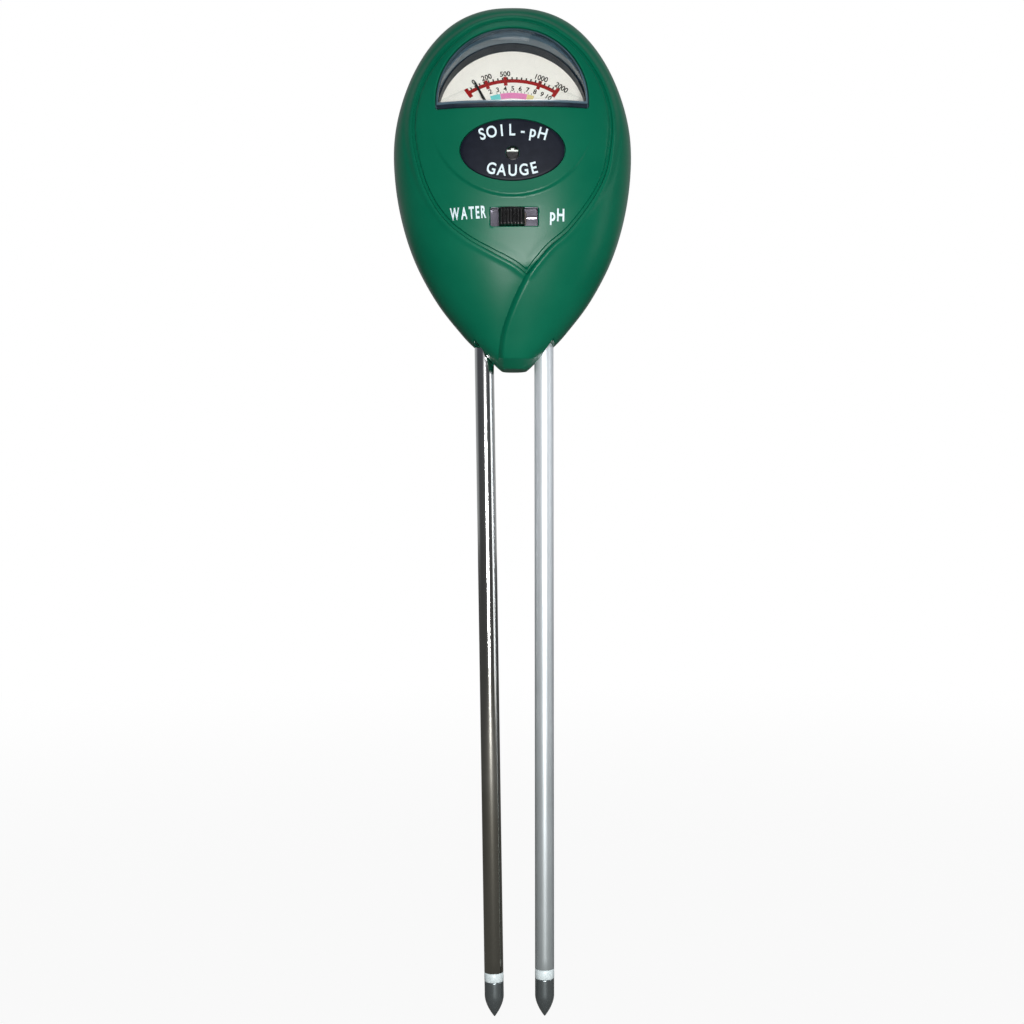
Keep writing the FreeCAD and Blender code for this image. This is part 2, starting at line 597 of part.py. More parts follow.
slider = box(KNOB_X - 4.3, KNOB_X + 4.3, SW_Y + 0.6, -12.7, SLOT_Z - 3.0, SLOT_Z + 3.0)
slider = slider.cut(box(KNOB_X - 1.7, KNOB_X + 1.7, SW_Y, -13.9, SLOT_Z - 1.5, SLOT_Z + 1.5))
parts["switch_slider"] = slider
bridge = []
for z in (SLOT_Z - 1.9, SLOT_Z + 1.9):
    b = box(KNOB_X - 3.6, KNOB_X + 3.6, -12.7, -12.45, z - 0.6, z + 0.6)
    bridge.append(b)
parts["switch_contacts"] = Part.makeCompound(bridge)
sbase = box(SLOT_X - 6.5, SLOT_X + 6.5, -11.9, -10.9, SLOT_Z - 3.2, SLOT_Z + 3.2)
terms = []
for z in (SLOT_Z - 1.9, SLOT_Z + 1.9):
    for x in (SLOT_X - 4.0, SLOT_X, SLOT_X + 4.0):
        sbase = sbase.cut(cyl(0.45, (x, -13, z), (x, -10, z)))
        t = cyl(0.8, (x, -12.40, z), (x, -11.9, z)).fuse(cyl(0.45, (x, -12.0, z), (x, -7.1, z)))
        terms.append(t.removeSplitter())
parts["switch_base"] = sbase
parts["switch_terminals"] = Part.makeCompound(terms)

# ---------------------------------------------------------------- circuit board
board = box(-17.0, 17.0, BOARD_Y0, BOARD_Y1, 31.0, 46.2)
for x, z in BOARD_SCREWS:
    board = board.cut(cyl(0.95, (x, -12, z), (x, -5, z)))
for z in (SLOT_Z - 1.9, SLOT_Z + 1.9):
    for x in (SLOT_X - 4.0, SLOT_X, SLOT_X + 4.0):
        board = board.cut(cyl(0.47, (x, -12, z), (x, -5, z)))
parts["circuit_board"] = board
parts["board_screws"] = Part.makeCompound(
    [screw((x, BOARD_Y1, z), (0, -1, 0), 1.5, 0.9, 0.78, 4.4, slot=0.4) for x, z in BOARD_SCREWS])
res = []
for z in (33.2, 44.7):
    lead = tube([(-4.2, BOARD_Y1, z), (-4.2, -6.5, z), (4.2, -6.5, z), (4.2, BOARD_Y1, z)], 0.25, [0.6, 0.6])
    res.append(cyl(0.95, (-2.6, -6.5, z), (2.6, -6.5, z)).fuse(lead))
parts["resistors"] = Part.makeCompound(res)

# ---------------------------------------------------------------- probes
for side in ("left", "right"):
    rt, rbm = RING_TOP[side], RING_BOTTOM[side]
    t = lcyl(PROBE_R, rt, NECK_Z).fuse(lcyl(PROBE_NECK_R, NECK_Z, TUBE_TOP)).removeSplitter()
    t = t.cut(lcyl(TUBE_BORE_R, rt - 1, TUBE_TOP + 1))
    parts["probe_tube_" + side] = probe_frame(t, side)
    ins = lcyl(PROBE_R, rbm, rt).fuse(lcyl(TUBE_BORE_R, rt, rt + 4.0)).removeSplitter().cut(
        lcyl(ROD_R, rbm - 1, rt + 5))
    parts["insulator_" + side] = probe_frame(ins, side)
    prof = [(0, rbm), (PROBE_R, rbm), (PROBE_R, TIP_STRAIGHT)]
    L = TIP_STRAIGHT - TIP_Z
    for i in range(1, 9):
        s = i / 8
        prof.append((0.18 + (PROBE_R - 0.18) * (1 - s ** 1.7), TIP_STRAIGHT - L * s))
    prof.append((0, TIP_Z))
    tip = revolve_z(prof).cut(lcyl(ROD_R, rbm - 3.5, rbm + 1))
    parts["tip_" + side] = probe_frame(tip, side)
    parts["core_rod_" + side] = probe_frame(lcyl(ROD_R, rbm - 3.5, ROD_TOP), side)
    sl = lcyl(TUBE_BORE_R, rt + 4.0, SLEEVE_TOP).cut(lcyl(ROD_R, rt, SLEEVE_TOP + 1))
    parts["core_sleeve_" + side] = probe_frame(sl, side)
    lug = lring(3.5, PROBE_NECK_R, 21.0, 21.6).fuse(
        Part.makeBox(2.0, 3.6, 0.6, Vector(-1.0, 3.0, 21.0)).cut(lcyl(PROBE_NECK_R, 20, 22))).removeSplitter()
    parts["tube_lug_" + side] = probe_frame(lug, side)

holder = box(-12.9, 12.9, -4.5, 4.5, HOLDER_Z0, HOLDER_Z1)
for side in ("left", "right"):
    holder = holder.cut(probe_frame(lcyl(PROBE_NECK_R + 0.02, 5, 30), side))
in_w = offset_profile(width, WALL + 0.3, [HOLDER_Z0, HOLDER_Z1])
holder = holder.common(Part.makeLoft([
    Part.makePolygon([Vector(-w, -9, z), Vector(w, -9, z), Vector(w, 9, z), Vector(-w, 9, z), Vector(-w, -9, z)])
    for w, z in ((in_w[0] * 0.935, HOLDER_Z0), (in_w[1] * 0.935, HOLDER_Z1))], True, True))
holder = holder.cut(cyl(1.15, (0, -6, 15.8), (0, 6, 15.8)))
parts["probe_holder"] = holder
parts["holder_screw"] = screw((0, 4.5, 15.8), (0, -1, 0), 2.1, 1.2, 0.98, 12.0, slot=0.5)

cs = []
for x, z in CASE_SCREWS:
    yb = -face_y(x, z) * REAR_RATIO
    y_seat = max(yb - 4.0, 2.2)
    cs.append(screw((x, y_seat, z), (0, -1, 0), 1.95, 1.3, 0.98, y_seat + 5.6, slot=0.5))
parts["case_screws"] = Part.makeCompound(cs)

# ---------------------------------------------------------------- internal wires
WR = 0.5
by = BOARD_Y1


def on_probe(side, x, y, z):
    k = -1 if side == "left" else 1
    a = math.radians(k * PROBE_TOE)
    return (x * math.cos(a) + z * math.sin(a) + k * PROBE_X, y, -x * math.sin(a) + z * math.cos(a))


for side in ("left", "right"):
    k = -1 if side == "left" else 1
    p = on_probe(side, 0, 5.7, 21.6)
    parts["wire_tube_" + side] = tube(
        [p, (p[0], p[1], 28.5), (k * 12.4, -1.0, 33.0), (k * 12.4, by, 33.0)], WR, [3.0, 2.6])
    q = on_probe(side, 0, 0, ROD_TOP)
    parts["wire_tip_" + side] = tube(
        [q, (q[0], q[1], 35.0), (k * 8.6, -2.2, 40.5), (k * 8.6, by, 40.5)], WR, [2.6, 2.2])
# lugs on the meter base's back, and wires down to the board
ml = []
for k in (-1, 1):
    lug = Part.makeBox(2.6, 3.4, 0.4, Vector(k * 13.6 - 1.3, -9.6, -2.7))
    ml.append(place(lug))
parts["meter_lugs"] = Part.makeCompound(ml)


def to_world(u, v, w):
    q = PIVOT + Vector(u, 0, 0) + UP * v + N * w
    return (q.x, q.y, q.z)


for k, nm in ((-1, "wire_meter_minus"), (1, "wire_meter_plus")):
    a = to_world(k * 13.6, -8.2, -2.7)
    b = to_world(k * 13.6, -8.2, -7.2)
    parts[nm] = tube([a, b, (k * 12.4, -2.6, 43.6), (k * 12.4, by, 43.6)], WR, [2.0, 1.8])

# ---------------------------------------------------------------- write
if __name__ == "__main__":
    total = 0
    for name, shape in parts.items():
        sol = shape.Solids
        ok = all(s.isValid() and s.Volume > 0 for s in sol)
        total += len(sol)
        if not ok or len(sol) == 0:
            print("BAD", name, len(sol), [s.isValid() for s in sol], [round(s.Volume, 3) for s in sol])
        out = sol[0] if len(sol) == 1 else Part.makeCompound(sol)
        out.exportStep("parts/%s.step" % name)
        print(name, len(sol), round(shape.Volume, 2))
    print(len(parts), "nodes", total, "solids")
    print("pivot", tuple(round(c, 3) for c in PIVOT), "N", tuple(round(c, 5) for c in N), "face", round(face_y(0, ZERO_Z), 3))
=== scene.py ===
import bpy, bmesh, math
import numpy as np
from mathutils import Vector, Matrix
from mathutils.kdtree import KDTree


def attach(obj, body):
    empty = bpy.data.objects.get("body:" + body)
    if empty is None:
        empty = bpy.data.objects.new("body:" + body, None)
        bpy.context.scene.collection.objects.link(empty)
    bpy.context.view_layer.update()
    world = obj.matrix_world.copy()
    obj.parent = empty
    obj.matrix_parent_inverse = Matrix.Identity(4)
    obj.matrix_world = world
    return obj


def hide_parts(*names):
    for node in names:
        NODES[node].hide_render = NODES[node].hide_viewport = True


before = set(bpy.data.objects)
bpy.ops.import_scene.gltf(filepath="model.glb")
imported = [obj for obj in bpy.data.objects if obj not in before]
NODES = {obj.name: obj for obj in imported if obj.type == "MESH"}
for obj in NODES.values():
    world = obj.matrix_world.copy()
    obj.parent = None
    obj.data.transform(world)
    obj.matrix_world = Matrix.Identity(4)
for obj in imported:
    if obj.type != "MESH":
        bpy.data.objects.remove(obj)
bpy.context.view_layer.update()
MM = 0.001

# ------------------------------------------------------------------ sizes shared with the CAD source (mm)
HEAD_TOP, WALL, REAR_RATIO, SUPER_N = 102.8, 2.0, 0.74, 2.6
PROBE_R, PROBE_X, PROBE_TOE = 2.70, 8.40, 0.415
NECK_R, NECK_Z = 2.45, 0.8
TUBE_BORE_R, ROD_R, TUBE_TOP = 1.90, 1.00, 24.0
RING_TOP = {"left": -169.8, "right": -168.9}
RING_BOTTOM = {"left": -172.3, "right": -171.6}
TIP_STRAIGHT, TIP_Z = -176.4, -182.4
WIN_HALF, WIN_BOTTOM, WIN_CENTRE = 20.8, 70.9, 72.0
OPEN_BOTTOM, OPEN_CENTRE = 69.8, 72.4
DIAL_TILT, DIAL_DEPTH, PIVOT_V = 13.0, 11.5, -9.3
BADGE_A, BADGE_B, BADGE_Z = 14.4, 8.5, 58.0
ZERO_Z, ZERO_R = 57.1, 1.8
SLOT_W, SLOT_H, SLOT_X, SLOT_Z = 13.1, 5.0, 0.3, 40.1
KNOB_X, KNOB_W, KNOB_H, KNOB_FRONT, SW_Y = -0.35, 7.0, 4.7, -20.5, -15.2
CASE_SCREWS = [(0.0, 96.9), (-22.5, 40.0), (22.5, 40.0), (0.0, 25.5)]
BOARD_SCREWS = [(-14.5, 35.0), (14.5, 35.0)]
PROFILE = [
    (0.0, 3.6, 7.4), (1.2, 5.0, 8.4), (3.0, 6.9, 9.4), (5.5, 9.9, 10.5), (8.5, 13.1, 11.6), (12.0, 16.1, 12.8),
    (17.0, 20.05, 14.3), (23.0, 23.85, 15.8), (30.0, 27.4, 17.2), (38.0, 30.25, 18.3), (47.0, 32.3, 19.15),
    (56.0, 33.3, 19.55), (65.0, 33.15, 19.45), (73.0, 31.6, 18.7), (80.0, 29.2, 17.4), (86.0, 26.25, 15.7),
    (91.0, 22.85, 13.8), (95.0, 19.15, 11.6), (98.0, 15.4, 9.3), (100.2, 11.45, 7.0), (101.6, 7.85, 4.8),
    (102.4, 4.6, 2.8), (102.8, 0.0, 0.0)]


def spline(xs, ys):
    """Natural cubic spline, as a function of a numpy array."""
    xs, ys = np.array(xs, float), np.array(ys, float)
    n = len(xs)
    h = np.diff(xs)
    A = np.zeros((n, n))
    r = np.zeros(n)
    A[0, 0] = A[-1, -1] = 1
    for i in range(1, n - 1):
        A[i, i - 1], A[i, i], A[i, i + 1] = h[i - 1], 2 * (h[i - 1] + h[i]), h[i]
        r[i] = 3 * ((ys[i + 1] - ys[i]) / h[i] - (ys[i] - ys[i - 1]) / h[i - 1])
    c = np.linalg.solve(A, r)
    b = (ys[1:] - ys[:-1]) / h - h * (c[1:] + 2 * c[:-1]) / 3
    d = (c[1:] - c[:-1]) / (3 * h)

    def f(x):
        x = np.asarray(x, float)
        j = np.clip(np.searchsorted(xs, x) - 1, 0, n - 2)
        t = x - xs[j]
        return ys[j] + b[j] * t + c[j] * t * t + d[j] * t ** 3
    return f


_z = [p[0] for p in PROFILE]
_w2, _f2 = spline(_z, [p[1] ** 2 for p in PROFILE]), spline(_z, [p[2] ** 2 for p in PROFILE])


def width(z):
    return np.sqrt(np.maximum(_w2(z), 0))


def depth(z):
    return np.sqrt(np.maximum(_f2(z), 0))


def face_y(x, z):
    """Front outer surface, as y (negative towards the reader)."""
    k = np.clip(np.abs(x) / np.maximum(width(z), 1e-6), 0, 1)
    return -depth(z) * (1 - k ** SUPER_N) ** (1 / SUPER_N)


def sstep(a, b, x):
    t = np.clip((x - a) / (b - a), 0, 1)
    return t * t * (3 - 2 * t)


tau = math.radians(DIAL_TILT)
N = Vector((0, -math.cos(tau), math.sin(tau)))
UP = Vector((0, math.sin(tau), math.cos(tau)))
P0 = Vector((0, float(face_y(0.0, WIN_BOTTOM)), WIN_BOTTOM))
PIVOT = P0 - N * DIAL_DEPTH + UP * PIVOT_V


def dial_point(u, v, w=0.0):
    return PIVOT + Vector((u, 0, 0)) + UP * v + N * w


# ------------------------------------------------------------------ materials
def mat(name, base, rough=0.4, metallic=0.0, vary=0.06, scale=180.0, rough_vary=0.06, bump=0.0, bump_scale=1500.0,
        stretch=(1, 1, 1), spec=0.5, coat=0.0, coat_rough=0.1, sub=0.0, tint=None, wear=None):
    """Principled material with procedural colour, roughness and surface variation."""
    m = bpy.data.materials.new(name)
    m.use_nodes = True
    nt = m.node_tree
    b = nt.nodes["Principled BSDF"]
    tc = nt.nodes.new("ShaderNodeTexCoord")
    mp = nt.nodes.new("ShaderNodeMapping")
    mp.inputs["Scale"].default_value = stretch
    nt.links.new(tc.outputs["Object"], mp.inputs["Vector"])
    n1 = nt.nodes.new("ShaderNodeTexNoise")
    n1.inputs["Scale"].default_value = scale
    n1.inputs["Detail"].default_value = 4
    nt.links.new(mp.outputs["Vector"], n1.inputs["Vector"])
    ramp = nt.nodes.new("ShaderNodeValToRGB")
    lo = tuple(c * (1 - vary) for c in base)
    hi = tuple(min(c * (1 + vary) + 0.002, 1) for c in base)
    if tint:
        hi = tint
    ramp.color_ramp.elements[0].position = 0.32
    ramp.color_ramp.elements[1].position = 0.68
    ramp.color_ramp.elements[0].color = (*lo, 1)
    ramp.color_ramp.elements[1].color = (*hi, 1)
    nt.links.new(n1.outputs["Fac"], ramp.inputs["Fac"])
    nt.links.new(ramp.outputs["Color"], b.inputs["Base Color"])
    b.inputs["Metallic"].default_value = metallic
    b.inputs["Specular IOR Level"].default_value = spec
    b.inputs["Coat Weight"].default_value = coat
    b.inputs["Coat Roughness"].default_value = coat_rough
    if sub:
        b.inputs["Subsurface Weight"].default_value = sub
        b.inputs["Subsurface Radius"].default_value = (0.002, 0.002, 0.002)
    n2 = nt.nodes.new("ShaderNodeTexNoise")
    n2.inputs["Scale"].default_value = scale * 2.3
    n2.inputs["Detail"].default_value = 3
    nt.links.new(mp.outputs["Vector"], n2.inputs["Vector"])
    mr = nt.nodes.new("ShaderNodeMapRange")
    mr.inputs["To Min"].default_value = max(rough - rough_vary, 0.01)
    mr.inputs["To Max"].default_value = min(rough + rough_vary, 1)
    nt.links.new(n2.outputs["Fac"], mr.inputs["Value"])
    nt.links.new(mr.outputs["Result"], b.inputs["Roughness"])
    if bump:
        n3 = nt.nodes.new("ShaderNodeTexNoise")
        n3.inputs["Scale"].default_value = bump_scale
        n3.inputs["Detail"].default_value = 2
        nt.links.new(mp.outputs["Vector"], n3.inputs["Vector"])
        bp = nt.nodes.new("ShaderNodeBump")
        bp.inputs["Strength"].default_value = 0.6
        bp.inputs["Distance"].default_value = bump * MM
        nt.links.new(n3.outputs["Fac"], bp.inputs["Height"])
        nt.links.new(bp.outputs["Normal"], b.inputs["Normal"])
    return m


GREEN = (0.0008, 0.1120, 0.0600)
M = {}
M["green"] = mat("abs_green", GREEN, 0.31, vary=0.06, scale=55, rough_vary=0.04, bump=0.020, bump_scale=1900, spec=0.15)
M["black"] = mat("gloss_black", (0.010, 0.017, 0.028), 0.16, vary=0.2, scale=300, rough_vary=0.05, bump=0.004, spec=0.6)
M["tunnel"] = mat("tunnel_dark", (0.009, 0.015, 0.022), 0.34, vary=0.2, scale=300, rough_vary=0.05, bump=0.003,
                  spec=0.08)
M["dial"] = mat("dial_print_cream", (0.93, 0.90, 0.85), 0.62, vary=0.02, scale=900, bump=0.004, spec=0.25)
M["needle"] = mat("needle_black", (0.0025, 0.0025, 0.003), 0.6, vary=0.2, bump=0.003, spec=0.15)
M["badge"] = mat("badge_navy", (0.0062, 0.0085, 0.0165), 0.42, vary=0.12, scale=400, rough_vary=0.05, bump=0.006,
                 bump_scale=2600, spec=0.10)
M["white"] = mat("print_white", (0.62, 0.74, 0.80), 0.5, vary=0.05, scale=1500, bump=0.004)
M["red"] = mat("print_red", (0.33, 0.0030, 0.0020), 0.6, vary=0.12, scale=1500, bump=0.003, spec=0.12)
M["ink"] = mat("print_ink", (0.018, 0.012, 0.006), 0.6, vary=0.2, scale=1500, bump=0.003, spec=0.12)
M["cyan"] = mat("print_cyan", (0.16, 0.66, 0.66), 0.55, vary=0.05, scale=900, bump=0.003)
M["pink"] = mat("print_pink", (0.80, 0.24, 0.50), 0.55, vary=0.05, scale=900, bump=0.003)
M["yellow"] = mat("print_yellow", (0.78, 0.66, 0.28), 0.55, vary=0.05, scale=900, bump=0.003)
M["knob"] = mat("knob_black", (0.0035, 0.0035, 0.004), 0.28, vary=0.15, scale=500, bump=0.006, spec=0.5)
# the switch frame's tin is painted nearly black: painted shade for the inside of the switch slot
M["tin"] = mat("tinned_steel_painted_shade", (0.115, 0.110, 0.135), 0.24, 1.0, vary=0.10, scale=240, rough_vary=0.06, bump=0.003, bump_scale=700)
# the rib's tin is lighter than the frame's: a painted glint
M["tin_rib"] = mat("tinned_rib_painted_glint", (0.42, 0.40, 0.46), 0.32, 1.0, vary=0.08, scale=300, bump=0.003)
# pale metal for the bar over the zero screw's slot: a painted highlight
M["bar"] = mat("bar_bright", (0.72, 0.78, 0.74), 0.35, 0.2, vary=0.06, scale=900, bump=0.003)
M["steel"] = mat("plated_steel", (0.62, 0.62, 0.63), 0.26, 1.0, vary=0.08, scale=900, rough_vary=0.08, bump=0.006)
M["iron"] = mat("soft_iron", (0.34, 0.34, 0.35), 0.42, 1.0, vary=0.1, scale=700, bump=0.01)
M["magnet"] = mat("magnet_grey", (0.13, 0.13, 0.14), 0.55, 0.8, vary=0.2, scale=900, bump=0.02)
M["brass"] = mat("brass", (0.74, 0.55, 0.24), 0.3, 1.0, vary=0.08, scale=700, rough_vary=0.08, bump=0.006)
M["copper"] = mat("coil_copper", (0.72, 0.30, 0.13), 0.35, 1.0, vary=0.15, scale=1800, bump=0.03, stretch=(1, 6, 1))
M["bronze"] = mat("spring_bronze", (0.66, 0.42, 0.20), 0.25, 1.0, vary=0.08, scale=900, bump=0.003)
M["phenolic"] = mat("phenolic", (0.030, 0.018, 0.012), 0.5, vary=0.15, scale=600, bump=0.01)
M["board"] = mat("board_tan", (0.33, 0.20, 0.08), 0.5, vary=0.15, scale=500, bump=0.008, stretch=(1, 1, 4))
M["resistor"] = mat("resistor_tan", (0.55, 0.42, 0.26), 0.35, vary=0.08, scale=600, bump=0.004)
M["ring"] = mat("insulator_white", (0.66, 0.74, 0.76), 0.35, vary=0.05, scale=500, bump=0.006, sub=0.15, spec=0.45)
M["sleeve"] = mat("polyethylene", (0.74, 0.74, 0.70), 0.5, vary=0.04, scale=500, bump=0.006)
M["holder"] = mat("holder_grey", (0.09, 0.09, 0.09), 0.5, vary=0.1, scale=500, bump=0.012)
for k, c in (("wire_red", (0.5, 0.02, 0.02)), ("wire_black", (0.02, 0.02, 0.02)), ("wire_white", (0.74, 0.74, 0.7))):
    M[k] = mat(k, c, 0.4, vary=0.06, scale=500, bump=0.004)


def metal_rod(name, base, dark, rough, lines, shade_z_span, stain, metallic):
    """Drawn rod: fine lines along it, a painted shade that slowly darkens the tone towards the point, faint stains."""
    m = bpy.data.materials.new(name)
    m.use_nodes = True
    nt = m.node_tree
    b = nt.nodes["Principled BSDF"]
    b.inputs["Metallic"].default_value = metallic
    tc = nt.nodes.new("ShaderNodeTexCoord")
    mp = nt.nodes.new("ShaderNodeMapping")
    mp.inputs["Scale"].default_value = (1, 1, 0.02)
    nt.links.new(tc.outputs["Object"], mp.inputs["Vector"])
    n1 = nt.nodes.new("ShaderNodeTexNoise")
    n1.inputs["Scale"].default_value = lines
    n1.inputs["Detail"].default_value = 5
    nt.links.new(mp.outputs["Vector"], n1.inputs["Vector"])
    sep = nt.nodes.new("ShaderNodeSeparateXYZ")
    nt.links.new(tc.outputs["Object"], sep.inputs["Vector"])
    mr = nt.nodes.new("ShaderNodeMapRange")
    mr.inputs["From Min"].default_value = 0.0
    mr.inputs["From Max"].default_value = -0.182
    nt.links.new(sep.outputs["Z"], mr.inputs["Value"])
    n2 = nt.nodes.new("ShaderNodeTexNoise")
    n2.inputs["Scale"].default_value = 60
    n2.inputs["Detail"].default_value = 6
    n2.inputs["Distortion"].default_value = 0.6
    nt.links.new(tc.outputs["Object"], n2.inputs["Vector"])
    add = nt.nodes.new("ShaderNodeMath")
    add.operation = "MULTIPLY_ADD"
    nt.links.new(n2.outputs["Fac"], add.inputs[0])
    add.inputs[1].default_value = stain
    nt.links.new(mr.outputs["Result"], add.inputs[2])
    ramp = nt.nodes.new("ShaderNodeValToRGB")
    ramp.color_ramp.elements[0].position = shade_z_span[0]
    ramp.color_ramp.elements[1].position = shade_z_span[1]
    ramp.color_ramp.elements[0].color = (*base, 1)
    ramp.color_ramp.elements[1].color = (*dark, 1)
    nt.links.new(add.outputs["Value"], ramp.inputs["Fac"])
    nt.links.new(ramp.outputs["Color"], b.inputs["Base Color"])
    r = nt.nodes.new("ShaderNodeMapRange")
    r.inputs["To Min"].default_value = rough * 0.75
    r.inputs["To Max"].default_value = rough * 1.3
    nt.links.new(n1.outputs["Fac"], r.inputs["Value"])
    nt.links.new(r.outputs["Result"], b.inputs["Roughness"])
    bp = nt.nodes.new("ShaderNodeBump")
    bp.inputs["Strength"].default_value = 0.30
    bp.inputs["Distance"].default_value = (0.0012 if rough < 0.2 else 0.004) * MM
    nt.links.new(n1.outputs["Fac"], bp.inputs["Height"])
    nt.links.new(bp.outputs["Normal"], b.inputs["Normal"])
    return m


# the rods darken towards the point: painted shade for the light falling off down the rods
M["nickel"] = metal_rod("probe_nickel", (0.74, 0.75, 0.76), (0.36, 0.35, 0.31), 0.12, 500, (0.25, 1.15), 0.45, 1.0)
M["alu"] = metal_rod("probe_aluminium", (0.74, 0.79, 0.84), (0.34, 0.375, 0.385), 0.40, 3200, (0.20, 1.15), 0.25, 0.5)
M["tip"] = metal_rod("tip_dark", (0.30, 0.33, 0.34), (0.22, 0.25, 0.26), 0.26, 900, (0.2, 1.2), 0.4, 0.85)


def clear_mat():
    m = bpy.data.materials.new("lens_clear")
    m.use_nodes = True
    nt = m.node_tree
    nt.nodes.clear()
    out = nt.nodes.new("ShaderNodeOutputMaterial")
    tr = nt.nodes.new("ShaderNodeBsdfTransparent")
    tr.inputs["Color"].default_value = (0.975, 0.98, 0.975, 1)
    gl = nt.nodes.new("ShaderNodeBsdfGlossy")
    gl.inputs["Color"].default_value = (0.92, 0.96, 1.0, 1)
    n = nt.nodes.new("ShaderNodeTexNoise")
    n.inputs["Scale"].default_value = 90
    tc = nt.nodes.new("ShaderNodeTexCoord")
    nt.links.new(tc.outputs["Object"], n.inputs["Vector"])
    mr = nt.nodes.new("ShaderNodeMapRange")
    mr.inputs["To Min"].default_value = 0.03
    mr.inputs["To Max"].default_value = 0.10
    nt.links.new(n.outputs["Fac"], mr.inputs["Value"])
    nt.links.new(mr.outputs["Result"], gl.inputs["Roughness"])
    fr = nt.nodes.new("ShaderNodeFresnel")
    fr.inputs["IOR"].default_value = 1.30
    mx = nt.nodes.new("ShaderNodeMixShader")
    nt.links.new(fr.outputs["Fac"], mx.inputs["Fac"])
    nt.links.new(tr.outputs["BSDF"], mx.inputs[1])
    nt.links.new(gl.outputs["BSDF"], mx.inputs[2])
    nt.links.new(mx.outputs["Shader"], out.inputs["Surface"])
    return m


M["lens"] = clear_mat()
# bluish streaked tone for the clear lens's edge and the surround's lip: painted reflection
M["lens_edge"] = mat("lens_edge_painted_reflection", (0.075, 0.125, 0.165), 0.22, vary=0.25, scale=130, rough_vary=0.08,
                     bump=0.01, bump_scale=500, spec=0.7, stretch=(0.25, 1, 1))

NODE_MAT = {
    "front_shell": "green", "rear_shell": "green", "window_lens": "lens", "dial_surround": "black",
    "dial_plate": "dial", "badge": "badge", "meter_base": "black", "flux_ring": "iron", "core_magnet": "magnet",
    "core_bracket": "brass", "front_bridge": "brass", "rear_bridge": "brass", "bridge_screws": "steel",
    "jewel_screws": "brass", "needle": "needle", "balance_weights": "brass", "pivot_staff": "steel",
    "moving_coil": "copper", "hairspring_front": "bronze", "hairspring_rear": "bronze", "zero_lever": "brass",
    "zero_adjust_screw": "knob", "meter_screws": "steel", "switch_knob": "knob", "switch_frame": "tin",
    "switch_slider": "phenolic", "switch_contacts": "brass", "switch_base": "phenolic", "switch_terminals": "brass",
    "circuit_board": "board", "board_screws": "steel", "resistors": "resistor", "probe_tube_left": "nickel",
    "insulator_left": "ring", "tip_left": "tip", "core_rod_left": "brass", "core_sleeve_left": "sleeve",
    "tube_lug_left": "brass", "probe_tube_right": "alu", "insulator_right": "ring", "tip_right": "tip",
    "core_rod_right": "brass", "core_sleeve_right": "sleeve", "tube_lug_right": "brass", "probe_holder": "holder",
    "holder_screw": "steel", "case_screws": "steel", "wire_tube_left": "wire_red", "wire_tip_left": "wire_white",
    "wire_tube_right": "wire_black", "wire_tip_right": "wire_white", "meter_lugs": "brass",
    "wire_meter_minus": "wire_black", "wire_meter_plus": "wire_red"}
for n, k in NODE_MAT.items():
    o = NODES[n]
    if not o.data.materials:
        o.data.materials.append(M[k])
    for i in range(len(o.data.materials)):
        o.data.materials[i] = M[k]


# ------------------------------------------------------------------ mesh helpers
def new_object(name, verts, faces, material, body, scale=MM, sharp=38.0, recalc=True):
    me = bpy.data.meshes.new(name)
    me.from_pydata([(v[0] * scale, v[1] * scale, v[2] * scale) for v in verts], [], faces)
    me.update()
    o = bpy.data.objects.new(name, me)
    bpy.context.scene.collection.objects.link(o)
    finish_mesh(o, sharp, recalc)
    me.materials.append(material)
    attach(o, body)
    return o


def finish_mesh(o, sharp=38.0, recalc=True):
    bm = bmesh.new()
    bm.from_mesh(o.data)
    if recalc:
        bmesh.ops.recalc_face_normals(bm, faces=bm.faces)
    lim = math.radians(sharp)
    for f in bm.faces:
        f.smooth = True
    for e in bm.edges:
        e.smooth = not (len(e.link_faces) == 2 and e.calc_face_angle(0) > lim)
    bm.to_mesh(o.data)
    bm.free()
    o.data.update()


